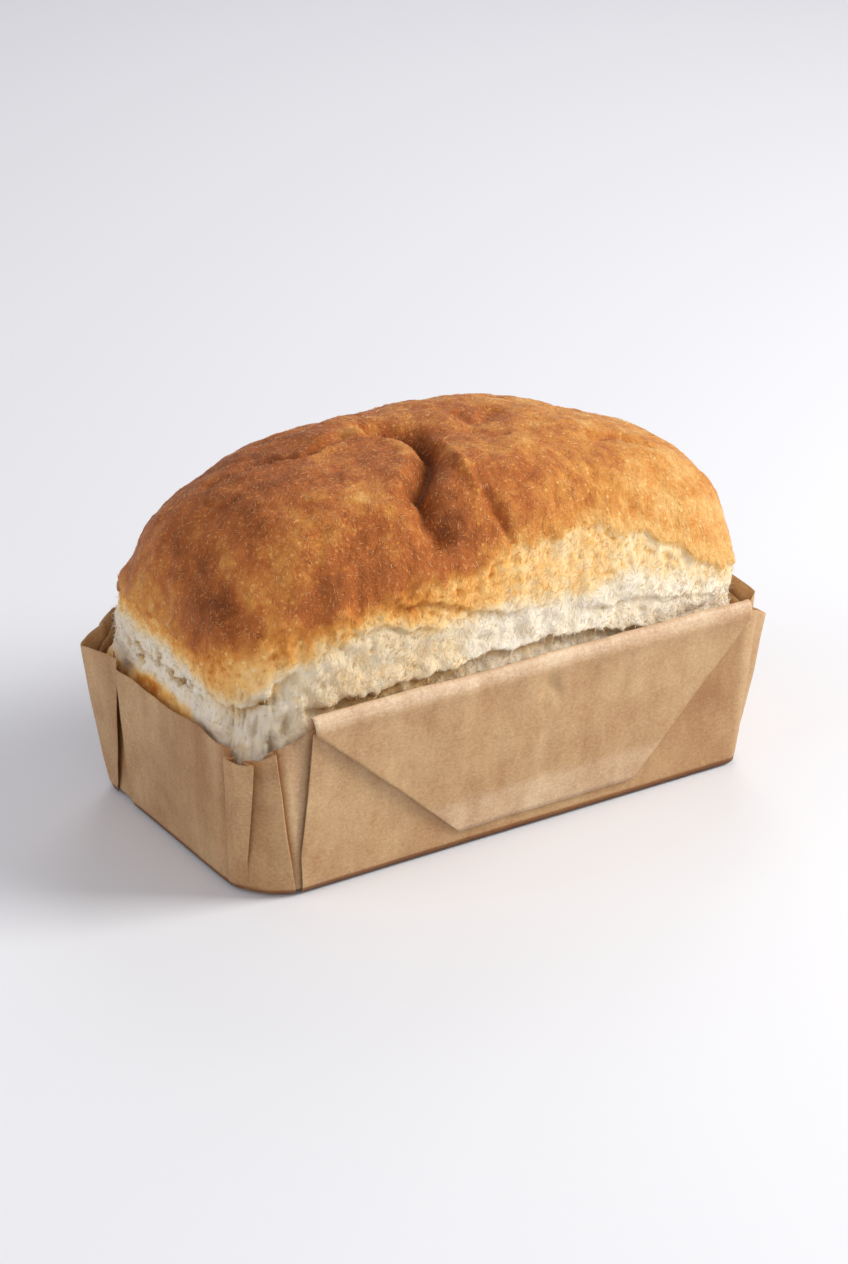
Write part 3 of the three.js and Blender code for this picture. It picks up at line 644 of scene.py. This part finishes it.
def splinter_tree(name):
    """A node tree that sets bent tapered splinters over a bread surface."""
    tree = bpy.data.node_groups.new(name, "GeometryNodeTree")
    tree.is_modifier = True
    for socket, kind in (
        ("Bread", "NodeSocketGeometry"), ("Per square metre", "NodeSocketFloat"),
        ("Bare skin", "NodeSocketFloat"), ("Torn crumb", "NodeSocketFloat"),
        ("Length", "NodeSocketFloat"), ("Width", "NodeSocketFloat"),
        ("Bend", "NodeSocketFloat"), ("Lean", "NodeSocketVector"),
        ("Spread", "NodeSocketVector"), ("Standing", "NodeSocketFloat"),
        ("Seed", "NodeSocketInt"), ("Finish", "NodeSocketMaterial"),
    ):
        tree.interface.new_socket(socket, in_out="INPUT", socket_type=kind)
    tree.interface.new_socket("Splinters", in_out="OUTPUT", socket_type="NodeSocketGeometry")
    given = add_node(tree, "NodeGroupInput").outputs
    torn_here = add_node(tree, "GeometryNodeInputNamedAttribute", links={"Name": "torn"})
    share_here = add_node(
        tree, "ShaderNodeMapRange",
        links={
            "Value": torn_here.outputs["Attribute"],
            "To Min": given["Bare skin"], "To Max": given["Torn crumb"],
        },
    )
    above_paper = add_node(tree, "GeometryNodeInputNamedAttribute", links={"Name": "bare"})
    density = add_node(
        tree, "ShaderNodeMath", {"operation": "MULTIPLY"},
        {0: share_here.outputs[0], 1: above_paper.outputs["Attribute"]},
    )
    density = add_node(
        tree, "ShaderNodeMath", {"operation": "MULTIPLY"},
        {0: density.outputs[0], 1: given["Per square metre"]},
    )
    spots = add_node(
        tree, "GeometryNodeDistributePointsOnFaces",
        links={"Mesh": given["Bread"], "Density": density.outputs[0], "Seed": given["Seed"]},
    )
    # One splinter: a three-sided cone with a joint half way, bent to one side.
    cone = add_node(
        tree, "GeometryNodeMeshCone",
        links={
            "Vertices": 3, "Side Segments": 2, "Radius Top": 0.0,
            "Radius Bottom": given["Width"], "Depth": given["Length"],
        },
    )
    place = add_node(tree, "GeometryNodeInputPosition")
    rise = add_node(tree, "ShaderNodeSeparateXYZ", links={0: place.outputs[0]}).outputs["Z"]
    share_up = add_node(
        tree, "ShaderNodeMath", {"operation": "DIVIDE"}, {0: rise, 1: given["Length"]}
    )
    curve = add_node(
        tree, "ShaderNodeMath", {"operation": "POWER"}, {0: share_up.outputs[0], 1: 2.0}
    )
    aside = add_node(
        tree, "ShaderNodeMath", {"operation": "MULTIPLY"}, {0: curve.outputs[0], 1: given["Bend"]}
    )
    sideways = add_node(tree, "ShaderNodeCombineXYZ", links={"X": aside.outputs[0]})
    bent = add_node(
        tree, "GeometryNodeSetPosition",
        links={"Geometry": cone.outputs["Mesh"], "Offset": sideways.outputs[0]},
    )
    scattered = add_node(
        tree, "FunctionNodeRandomValue", {"data_type": "FLOAT_VECTOR"},
        {0: (-1.0, -1.0, -1.0), 1: (1.0, 1.0, 1.0), "Seed": given["Seed"]},
    )
    scattered = add_node(
        tree, "ShaderNodeVectorMath", {"operation": "MULTIPLY_ADD"},
        {0: scattered.outputs[0], 1: given["Spread"], 2: given["Lean"]},
    )
    outwards = add_node(
        tree, "ShaderNodeVectorMath", {"operation": "SCALE"},
        {0: spots.outputs["Normal"], "Scale": given["Standing"]},
    )
    # The lean keeps only its part along the surface, and then the splinter is stood up.
    inward = add_node(
        tree, "ShaderNodeVectorMath", {"operation": "DOT_PRODUCT"},
        {0: scattered.outputs[0], 1: spots.outputs["Normal"]},
    )
    sunk = add_node(
        tree, "ShaderNodeVectorMath", {"operation": "SCALE"},
        {0: spots.outputs["Normal"], "Scale": inward.outputs["Value"]},
    )
    flat = add_node(
        tree, "ShaderNodeVectorMath", {"operation": "SUBTRACT"},
        {0: scattered.outputs[0], 1: sunk.outputs[0]},
    )
    pointing = add_node(
        tree, "ShaderNodeVectorMath", {"operation": "ADD"},
        {0: flat.outputs[0], 1: outwards.outputs[0]},
    )
    turned = add_node(
        tree, "FunctionNodeAlignRotationToVector", {"axis": "Z"},
        {"Rotation": spots.outputs["Rotation"], "Vector": pointing.outputs[0]},
    )
    stretch = add_node(
        tree, "FunctionNodeRandomValue", {"data_type": "FLOAT"},
        {2: 0.3, 3: 1.3, "Seed": given["Seed"]},
    )
    placed = add_node(
        tree, "GeometryNodeInstanceOnPoints",
        links={
            "Points": spots.outputs["Points"], "Instance": bent.outputs["Geometry"],
            "Rotation": turned.outputs["Rotation"], "Scale": stretch.outputs[1],
        },
    )
    real = add_node(
        tree, "GeometryNodeRealizeInstances", links={"Geometry": placed.outputs["Instances"]}
    )
    finished = add_node(
        tree, "GeometryNodeSetMaterial",
        links={"Geometry": real.outputs["Geometry"], "Material": given["Finish"]},
    )
    add_node(tree, "NodeGroupOutput", links={0: finished.outputs["Geometry"]})
    return tree


def grow(name, bread_mesh, tree, sizes):
    """A plain mesh piece of all the splinters that the tree sets on the bread."""
    piece = bpy.data.objects.new(name, bread_mesh.copy())
    bpy.context.scene.collection.objects.link(piece)
    growth = piece.modifiers.new("splinters", "NODES")
    growth.node_group = tree
    for socket in tree.interface.items_tree:
        if socket.name in sizes:
            growth[socket.identifier] = sizes[socket.name]
    graph = bpy.context.evaluated_depsgraph_get()
    grown = bpy.data.meshes.new_from_object(piece.evaluated_get(graph))
    piece.modifiers.clear()
    piece.data = grown
    return piece


# Splinters start where the bread comes clear of the paper.
paint(loaf, "bare", ramp(loaf_points[:, 2], RIM - 9, RIM - 4))
splinters = splinter_tree("bread_splinters")
crumb_threads = grow(
    "crumb_threads", loaf.data, splinters,
    {
        "Per square metre": 4.5e5, "Bare skin": 0.0, "Torn crumb": 1.0, "Length": 2.6 * MM,
        "Width": 0.16 * MM, "Bend": 0.8 * MM, "Lean": (0.0, 0.0, 0.5), "Spread": (0.5, 0.5, 1.0),
        "Standing": 0.3, "Seed": 5, "Finish": bread,
    },
)
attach(crumb_threads, "root")

# Toasted flour and bran: dry and matt, from cream to light brown, so always a little paler than
# the skin. Its patches of one tone are 2.5 mm across, 400 to the metre.
TONE_PATCHES = 400
flour, tree = new_material("baked_flour_and_bran")
spot = add_node(tree, "ShaderNodeTexCoord").outputs["Object"]
browning_and_shade_read = add_node(tree, "ShaderNodeAttribute", {"attribute_name": "browning_and_shade"}).outputs["Fac"]
patchy = add_node(
    tree, "ShaderNodeTexNoise", links={"Vector": spot, "Scale": TONE_PATCHES, "Detail": 2}
)
patchy = add_node(
    tree, "ShaderNodeMath", {"operation": "MULTIPLY_ADD"},
    {0: patchy.outputs["Fac"], 1: 0.5, 2: -0.25},
)
baked = add_node(tree, "ShaderNodeMath", {"operation": "ADD"}, {0: browning_and_shade_read, 1: patchy.outputs[0]})
flour_colours = add_node(tree, "ShaderNodeValToRGB", links={"Fac": baked.outputs[0]})
flour_colours.color_ramp.elements[0].position = 0.35
flour_colours.color_ramp.elements[0].color = linear("#f0c88e")
flour_colours.color_ramp.elements[1].position = 0.95
flour_colours.color_ramp.elements[1].color = linear("#c2824a")
flour_shader = add_node(
    tree, "ShaderNodeBsdfPrincipled",
    links={"Base Color": flour_colours.outputs["Color"], "Roughness": 0.6},
)
add_node(tree, "ShaderNodeOutputMaterial", links={"Surface": flour_shader.outputs[0]})
crust_flecks = grow(
    "crust_flecks", loaf.data, splinters,
    {
        "Per square metre": 3.3e5, "Bare skin": 1.0, "Torn crumb": 0.0, "Length": 1.8 * MM,
        "Width": 0.12 * MM, "Bend": 0.25 * MM, "Lean": (0.0, 0.0, 0.0), "Spread": (1.0, 1.0, 1.0),
        "Standing": 0.03, "Seed": 8, "Finish": flour,
    },
)
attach(crust_flecks, "root")


# ---- Paper case ---------------------------------------------------------------------------
# One sheet of unbleached baking paper pushed into the tin: pleated at each corner, and its
# long edges rolled out over the rim and turned down as flaps with slanting sides.

PAPER_FOOT = 1.5  # radius of the bend between floor and wall
PAPER_THICKNESS = 0.26  # about three times the real one, so that cut edges show
FLOOR_LEVEL = 0.15  # the middle of the sheet where it lies on the table
PLEAT_CLEARANCE = 0.15  # between a pleat and the wall that it is folded from
# Places round the case run from 0 to 8, starting at the left end of the front: a side, then
# its corner, and so on past the right end, the back and the left end. First the cut edge's
# height at each place.
CUT_EDGE = (
    (0.0, 64), (0.04, 65.5), (0.07, 69), (0.95, 69), (1.4, 66.5), (1.75, 62), (2.0, 69),
    (2.2, 74), (2.6, 72), (3.0, 70), (3.5, 64), (3.9, 70), (4.0, 76), (4.97, 77),
    (5.04, 71), (5.2, 66), (5.5, 63.5), (5.85, 62.8), (6.0, 64), (6.204, 66), (6.205, 62.4),
    (6.36, 59.5), (6.46, 58.4), (6.63, 60.8), (6.79, 62), (6.85, 59.6), (7.03, 61.8),
    (7.1, 58.2), (7.16, 61), (7.2, 58.6), (7.32, 58.2), (7.55, 58.8), (7.81, 62.6), (7.86, 62.8),
    (8.0, 64),
)
# The fold lines in order round the case. Each is where it stands at the cut edge, how far
# out it is there, the same two at its foot, and the height of its foot.
FOLDS = (
    (0.16, 0.5, 0.10, 0.4, 2), (0.048, 3.4, -0.029, 1.6, 1), (0.16, 3.0, 0.10, 1.2, 1),
    (0.40, 0.9, 0.35, 0.6, 1), (0.98, 0.8, 0.98, 0.6, 1), (1.30, 2.2, 1.26, 0.8, 4),
    (1.45, 2.6, 1.40, 0.8, 10), (1.25, 0.4, 1.30, 0.3, 16), (1.50, 2.0, 1.44, 0.5, 16),
    (1.72, 6.2, 1.62, 0.8, 16), (1.84, 0.4, 1.80, 0.3, 16), (1.90, 0.6, 1.90, 0.4, 12),
    (2.00, 4.0, 1.96, 0.7, 12), (2.12, 2.4, 2.04, 0.6, 8), (2.30, 0.6, 2.20, 0.5, 8),
    (2.84, 0.5, 2.90, 0.5, 6), (3.06, 3.6, 3.02, 1.0, 6), (3.00, 0.5, 3.00, 0.4, 12),
    (3.42, 6.2, 3.36, 1.0, 14), (3.34, 0.9, 3.36, 0.4, 14), (3.80, 4.2, 3.80, 1.0, 6),
    (3.70, 0.4, 3.74, 0.3, 6), (4.05, 0.5, 4.05, 0.4, 2), (5.06, 0.5, 5.10, 0.5, 5),
    (5.30, 2.4, 5.20, 0.9, 10), (5.22, 0.4, 5.18, 0.3, 10), (5.60, 4.4, 5.50, 0.8, 3),
    (5.80, 6.4, 5.64, 1.2, 3), (5.885, 7.0, 5.72, 1.4, 3), (6.02, 6.0, 5.86, 1.3, 3),
    (6.203, 3.2, 6.03, 0.9, 3), (6.12, 0.5, 5.98, 0.3, 3),
)
END_SHEET = (
    (6.206, 4.4, 6.18, 1.4, 3), (6.29, 2.4, 6.25, 0.9, 3), (6.5, 0.9, 6.45, 0.6, 3),
    (6.8, 0.7, 6.8, 0.6, 2), (6.94, 1.1, 6.93, 0.6, 2), (7.03, 0.4, 7.02, 0.3, 2),
    (7.16, 0.3, 7.14, 0.3, 2),
)
NEAR_PLEATS = (
    (7.20, 0.3, 7.16, 0.3, 2), (7.10, 2.6, 7.07, 1.0, 2), (7.32, 3.6, 7.20, 1.3, 4),
    (7.557, 4.7, 7.35, 1.2, 14), (7.49, 2.8, 7.36, 0.9, 14), (7.36, 0.7, 7.30, 0.3, 14),
    (7.60, 1.5, 7.60, 1.0, 4), (7.814, 3.9, 7.90, 1.5, 3), (7.78, 1.6, 7.86, 0.8, 3),
    (7.68, 0.2, 7.80, 0.2, 3),
)
LIFT = 1.2  # the case's edge curls up off the table
NEAR_LIFT = 1.2  # and more at the near left corner
NEAR_CORNER = 7.42
# How the paper is shaded, as one number: painted light at -1, the paper as made at 0, painted
# shade in recesses and folds at 1, and the painted shadow in the bend at its foot at 3.
PAINTED_LIGHT, FOOT_SHADOW = -1.0, 3.0


def wall_point(u, out, z):
    """A point at place u round the tin's wall, out from it and at height z."""
    u, out, z = np.broadcast_arrays(np.asarray(u, float) % 8, out, z)
    a, b = tin_size(np.maximum(z, 0), PAPER_FOOT)
    rise = np.clip(z / RIM, 0, 1)[..., None]
    radii = np.array(CORNER_RADII, float)
    radii = radii[:, 0] + (radii[:, 1] - radii[:, 0]) * rise
    part = np.floor(u).astype(int)
    share = u - part
    side = part >> 1
    long = np.where(side % 2 == 0, a, b)
    wide = np.where(side % 2 == 0, b, a)
    radius = np.take_along_axis(radii, side[..., None], -1)[..., 0]
    before = np.take_along_axis(radii, ((side + 3) % 4)[..., None], -1)[..., 0]
    bend = share * math.pi / 2
    straight = part % 2 == 0
    along = np.where(
        straight,
        before - long + share * (2 * long - radius - before),
        long - radius + (radius + out) * np.sin(bend),
    )
    away = np.where(straight, wide + out, wide - radius + (radius + out) * np.cos(bend))
    heading = side * math.pi / 2
    px = along * np.cos(heading) + away * np.sin(heading)
    py = along * np.sin(heading) - away * np.cos(heading)
    return np.stack([px, py, z.astype(float)], -1)


def lifted(u):
    """How high the edge of the case's bottom stands off the table."""
    turned = (np.asarray(u, float) % 8 - NEAR_CORNER + 4) % 8 - 4
    return LIFT + NEAR_LIFT * hill(turned, 0, 0.36)


def grid_faces(high, wide, first, closed):
    """Squares between neighbouring points of a grid, whose columns may close up."""
    ids = first + np.arange(high * wide).reshape(high, wide)
    right = np.roll(ids, -1, axis=1)
    faces = np.stack([ids[:-1], right[:-1], right[1:], ids[1:]], -1)
    return (faces if closed else faces[:, :-1]).reshape(-1, 4)


def crumple(points, amount=1.0):
    """Points pushed in and out along x and y by the soft dents that baking paper keeps."""
    push = 0.5 * lumpy(points * (1, 1, 0.4), 26, 31) + 0.32 * lumpy(points * (1, 1, 0.5), 9, 32)
    push += 0.12 * lumpy(points * (1, 1, 0.4), 4, 38) * ramp(-points[..., 2], -40, -8)
    middle = points * (1, 1, 0) / np.maximum(np.linalg.norm(points[..., :2], axis=-1), 1)[..., None]
    return points + middle * (push * amount * ramp(points[..., 2], 1, 9))[..., None]


def pleated_sheet(folds, shade_within=1.6):
    """Paper between fold lines: a grid of points from floor to cut edge, and each one's painted shade.
    """
    rows, step, beside_fold = 38, 2.2, (0.35, 0.8)
    shaded_fold = 6.13  # place of the fold that gets the most painted shade
    folds = np.array(folds, float)
    u_top, out_top, u_foot, out_foot, z_foot = folds.T
    z_top = at(CUT_EDGE, u_top % 8)
    reach = np.linalg.norm(np.diff(wall_point(u_top, out_top, z_top), axis=0), axis=1)
    # Points along the sheet: even steps from fold to fold, and two close beside each fold.
    spots = []
    for k, length in enumerate(reach):
        inner = np.linspace(0, 1, max(3, int(length / step) + 1))[:-1]
        near = np.array(beside_fold) / max(length, 3)
        spots.append(k + np.unique(np.concatenate([inner, near, 1 - near])))
    spots = np.append(np.concatenate(spots), len(folds) - 1)
    # Going up, each fold moves from its foot's place to its top's and stands out further.
    climb = np.linspace(0, 1, rows) ** 0.9
    z_low = lifted(u_foot)
    z_key = z_low + (z_top - z_low) * climb[:, None]
    lift = np.clip((z_key - z_foot) / (z_top - z_foot), 0, 1)
    below = np.clip((z_key - z_low + 0.2) / z_foot, 0, 1) ** np.where(z_foot > 10, 1.4, 0.5)
    u_key = u_foot + (u_top - u_foot) * lift**0.75
    out_key = (out_foot + (out_top - out_foot) * lift**0.8) * below + PLEAT_CLEARANCE
    index = np.arange(len(folds))

    def between(values):
        return np.stack([np.interp(spots, index, row) for row in values])

    ragged = 0.7 * lumpy(np.stack([spots * 9, 0 * spots, 0 * spots], -1), 6, 33)
    z_at = between(z_key) + np.outer(climb**3, ragged)
    points = wall_point(between(u_key), between(out_key), z_at)
    points[:, 1:-1] = points[:, 1:-1] * 0.6 + (points[:, :-2] + points[:, 2:]) * 0.2
    # Painted shade where the sheet lies close to the wall in the recesses between pleats, and most
    # along one fold at the far left.
    shaded = ramp(-between(out_key), -shade_within, -0.2) * climb[:, None] ** 0.5
    return crumple(points), shaded + 0.4 * hill(between(u_key), shaded_fold, 0.05)


def flap_sheet(start, end, roll_top, roll_radius, lower, foot_left, foot_right, stand):
    """The long side's sheet, rolled over the rim and turned down as a tapering flap."""
    behind, wall_gap = (9, 4), 0.3  # rows below the roll, between the flap and the wall
    across = np.linspace(0, 1, 116)
    roll_height = 2.0 * roll_radius
    bottom = roll_top - roll_height
    turn = np.linspace(0, math.pi, 13)
    drop = np.linspace(0, 1, 30)[1:]
    z_line = np.concatenate(
        [
            bottom - np.array(behind),
            bottom + roll_height * np.sin(turn),
            bottom + (lower - bottom) * drop,
        ]
    )
    swell = 2 * roll_radius + (stand - 2 * roll_radius) * drop**0.6 + 1.3 * np.sin(math.pi * drop)
    rolling = wall_gap + roll_radius * (1 - np.cos(turn))
    out_line = np.concatenate([[wall_gap, wall_gap], rolling, swell])
    taper = np.concatenate([np.zeros(len(behind) + len(turn)), drop])
    left = start + (foot_left - start) * taper
    right = end + (foot_right - end) * taper
    u = left[:, None] + (right - left)[:, None] * across
    wobble = 0.7 * lumpy(np.stack([across * 210, 0 * across, 0 * across], -1), 34, 34)
    z = z_line[:, None] + wobble * (0.4 + 0.6 * (1 - taper[:, None]))
    # A small dent with slanting sides half way along, under the roll.
    beside = u - start - 0.5
    dent = 2.0 * np.exp(-((beside / 0.022) ** 2) - ((z - bottom + 5 + 300 * abs(beside)) / 5) ** 2)
    # A painted highlight pales the roll, and painted light pales a band along the flap's lower edge.
    roll_highlight = ramp(z, bottom, bottom + 0.6 * roll_height)
    low_band_light = ramp(-z, -lower - 17, -lower - 11)
    sheet = crumple(wall_point(u, out_line[:, None] - dent, z), 1.3)
    return sheet, -np.maximum(roll_highlight, 0.6 * low_band_light)


# The bottom and the walls are one skin: rings on the floor, each with its share of the outline
# and of the lift, then the bend, and rows up to an edge cut a little below the pleats'.
FLOOR_RINGS = ((0.25, 0), (0.6, 0), (0.85, 0.03), (0.93, 0.3))
WALL_START = 3.4
u_around = np.linspace(0, 8, 301)[:-1]
outline = wall_point(u_around, 0, 0)
rise_at = lifted(u_around)[:, None] * (0, 0, 1)
rings = [outline * (s, s, 0) + (0, 0, FLOOR_LEVEL) + rise_at * r for s, r in FLOOR_RINGS]
foot_rows = [
    wall_point(u_around, 0, PAPER_FOOT * (1 - math.cos(t)) + FLOOR_LEVEL) + rise_at
    for t in (0.0, 0.5, 1.0, 1.4)
]
inner_edge = 63.5 + 20 * ramp(abs(u_around - 6.8), 0.6, 1.4)
inner_edge = np.minimum(at(CUT_EDGE, u_around), inner_edge)
inner_edge = inner_edge - 5.5 * ramp(u_around, 1.0, 1.2) * ramp(-u_around, -7.68, -7.56)
# Between the last near pleat and the front flap the wall shows as a narrow bulging panel.
past_start = (u_around + 4) % 8 - 4
panel = 1.1 * hill(past_start, -0.03, 0.12)
wall_rows = []
for up in np.linspace(0, 1, 26):
    wall_height = WALL_START + (inner_edge - WALL_START) * up
    wall_rows.append(crumple(wall_point(u_around, panel * min(1, 4 * up), wall_height), 0.5))
tray = np.stack([*rings, *foot_rows, *wall_rows])
# Painted shade darkens the wall in the gap at the far left corner, a painted shadow runs along
# the near pleat's slanting edge and faintly beside the flap's slanting side, and painted light
# pales the panel itself.
left_gap_shade = 0.6 * hill(u_around, 6.08, 0.16)
panel_light = 0.3 * hill(past_start, 0.01, 0.07)
pleat_edge = -0.1 - 0.086 * np.clip(tray[..., 2] / 63, 0, 1) ** 0.75
pleat_edge_shadow = hill(past_start - pleat_edge, 0.02, 0.04)
tray_shade = (left_gap_shade - panel_light + pleat_edge_shadow) * ramp(tray[..., 2], 2, 20)
tray_shade += 0.25 * hill(u_around, 0.2, 0.08)

# The near pleats get more painted shade in their recesses, and a little all over.
near_pleats, near_shade = pleated_sheet(NEAR_PLEATS, shade_within=3.0)
sheets = [
    (tray, tray_shade),
    pleated_sheet(FOLDS),
    pleated_sheet(END_SHEET),
    (near_pleats, 0.8 * near_shade + 0.1),
    flap_sheet(
        start=0.048, end=1.0, roll_top=73.9, roll_radius=3.1,
        lower=8, foot_left=0.345, foot_right=0.754, stand=2.2,
    ),
    flap_sheet(
        start=4.03, end=4.98, roll_top=80, roll_radius=2.4,
        lower=20, foot_left=4.26, foot_right=4.68, stand=2.6,
    ),
]
points, faces, painted_shading = [], [], []
for sheet, shaded in sheets:
    # Painted shadow, darkest in the bend at each sheet's foot.
    shaded = shaded + (FOOT_SHADOW - shaded) * ramp(LIFT + 1.5 - sheet[..., 2], 0, 1.2)
    high, wide = sheet.shape[:2]
    faces.append(grid_faces(high, wide, first=sum(map(len, points)), closed=sheet is tray))
    points.append(sheet.reshape(-1, 3))
    painted_shading.append(shaded.ravel())
centre = sum(map(len, points))
points.append(np.array([[0, 0, FLOOR_LEVEL]]))
painted_shading.append([FOOT_SHADOW])
first_ring = np.arange(len(u_around))
hub = np.stack([first_ring, np.full(len(first_ring), centre), np.roll(first_ring, -1)], -1)
case = make_mesh("kraft_case", np.concatenate(points), [*np.concatenate(faces), *hub])
paint(case, "painted_shading", np.clip(np.concatenate(painted_shading), PAINTED_LIGHT, FOOT_SHADOW))

thickness = case.modifiers.new("paper", "SOLIDIFY")
thickness.thickness = PAPER_THICKNESS * MM
thickness.offset = 0
thickness.use_even_offset = False
graph = bpy.context.evaluated_depsgraph_get()
solid = bpy.data.meshes.new_from_object(case.evaluated_get(graph))
case.modifiers.clear()
case.data = solid

# Unbleached kraft baking paper: satin from its coating, cloudy and flecked with fibre, and thin
# enough that light glows through it. Painted shade darkens and warms it in recesses, folds and the
# bend at its foot, and painted light pales its rolled edges and parts of the flap and wall. The
# numbers say how often each pattern repeats in a metre: clouds 22 mm across, streaks of pulp
# 8 mm, and fibre flecks 1.4 mm, drawn coarser than the real half-millimetre ones to show.
CLOUDS, STREAKS, FIBRES = 45, 120, 700
kraft, tree = new_material("unbleached_baking_paper")
spot = add_node(tree, "ShaderNodeTexCoord").outputs["Object"]
clouds = add_node(
    tree, "ShaderNodeTexNoise",
    links={"Vector": spot, "Scale": CLOUDS, "Detail": 4, "Roughness": 0.6},
)
laid = add_node(tree, "ShaderNodeMapping", links={"Vector": spot, "Scale": (1.0, 1.0, 1.4)})
flecks = add_node(
    tree, "ShaderNodeTexNoise",
    links={"Vector": laid.outputs[0], "Scale": FIBRES, "Detail": 5, "Roughness": 0.95},
)
streaks = add_node(tree, "ShaderNodeMapping", links={"Vector": spot, "Scale": (1.0, 1.0, 0.3)})
streaked = add_node(
    tree, "ShaderNodeTexNoise",
    links={"Vector": streaks.outputs[0], "Scale": STREAKS, "Detail": 4, "Roughness": 0.6},
)
mixed = -0.5
for pattern, strength in ((clouds, 0.55), (streaked, 0.4), (flecks, 1.1)):
    mixed = add_node(
        tree, "ShaderNodeMath", {"operation": "MULTIPLY_ADD"},
        {0: pattern.outputs["Fac"], 1: strength, 2: mixed},
    ).outputs[0]
kraft_colours = add_node(tree, "ShaderNodeValToRGB", links={"Fac": mixed})
kraft_colours.color_ramp.elements[0].position = 0.30
kraft_colours.color_ramp.elements[0].color = linear("#cfa27b")
kraft_colours.color_ramp.elements[1].position = 0.78
kraft_colours.color_ramp.elements[1].color = linear("#ffe8c6")
painted_shading_read = add_node(tree, "ShaderNodeAttribute", {"attribute_name": "painted_shading"}).outputs["Fac"]
# Painted light makes the paper paler, painted shade darker and warmer.
shading_place = add_node(
    tree, "ShaderNodeMapRange",
    links={"Value": painted_shading_read, "From Min": PAINTED_LIGHT, "From Max": FOOT_SHADOW},
)
shading_colours = add_node(tree, "ShaderNodeValToRGB", links={"Fac": shading_place.outputs["Result"]})
shading_colours.color_ramp.elements[0].position = 0.0
shading_colours.color_ramp.elements[0].color = linear("#ffffff")
shading_colours.color_ramp.elements[1].position = 1.0
shading_colours.color_ramp.elements[1].color = linear("#8f6a49")
shading_colours.color_ramp.elements.new(0.25).color = linear("#e6d8bf")
shading_colours.color_ramp.elements.new(0.5).color = linear("#bb905a")
kraft_seen = add_node(
    tree, "ShaderNodeMix", {"data_type": "RGBA", "blend_type": "MULTIPLY"},
    {0: 1.0, 6: kraft_colours.outputs["Color"], 7: shading_colours.outputs["Color"]},
)
fibre_bump = add_node(
    tree, "ShaderNodeBump", links={"Height": flecks.outputs["Fac"], "Strength": 0.3, "Distance": 0.0003}
)
kraft_shader = add_node(
    tree,
    "ShaderNodeBsdfPrincipled",
    links={
        "Base Color": kraft_seen.outputs[2],
        "Roughness": 0.44,
        "IOR": 1.45,
        "Normal": fibre_bump.outputs["Normal"],
    },
)
glow = add_node(tree, "ShaderNodeBsdfTranslucent", links={"Color": kraft_seen.outputs[2]})
kraft_mix = add_node(
    tree, "ShaderNodeMixShader", links={0: 0.22, 1: kraft_shader.outputs[0], 2: glow.outputs[0]}
)
add_node(tree, "ShaderNodeOutputMaterial", links={"Surface": kraft_mix.outputs[0]})
case.data.materials.clear()
case.data.materials.append(kraft)
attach(case, "root")
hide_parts("paper_case")
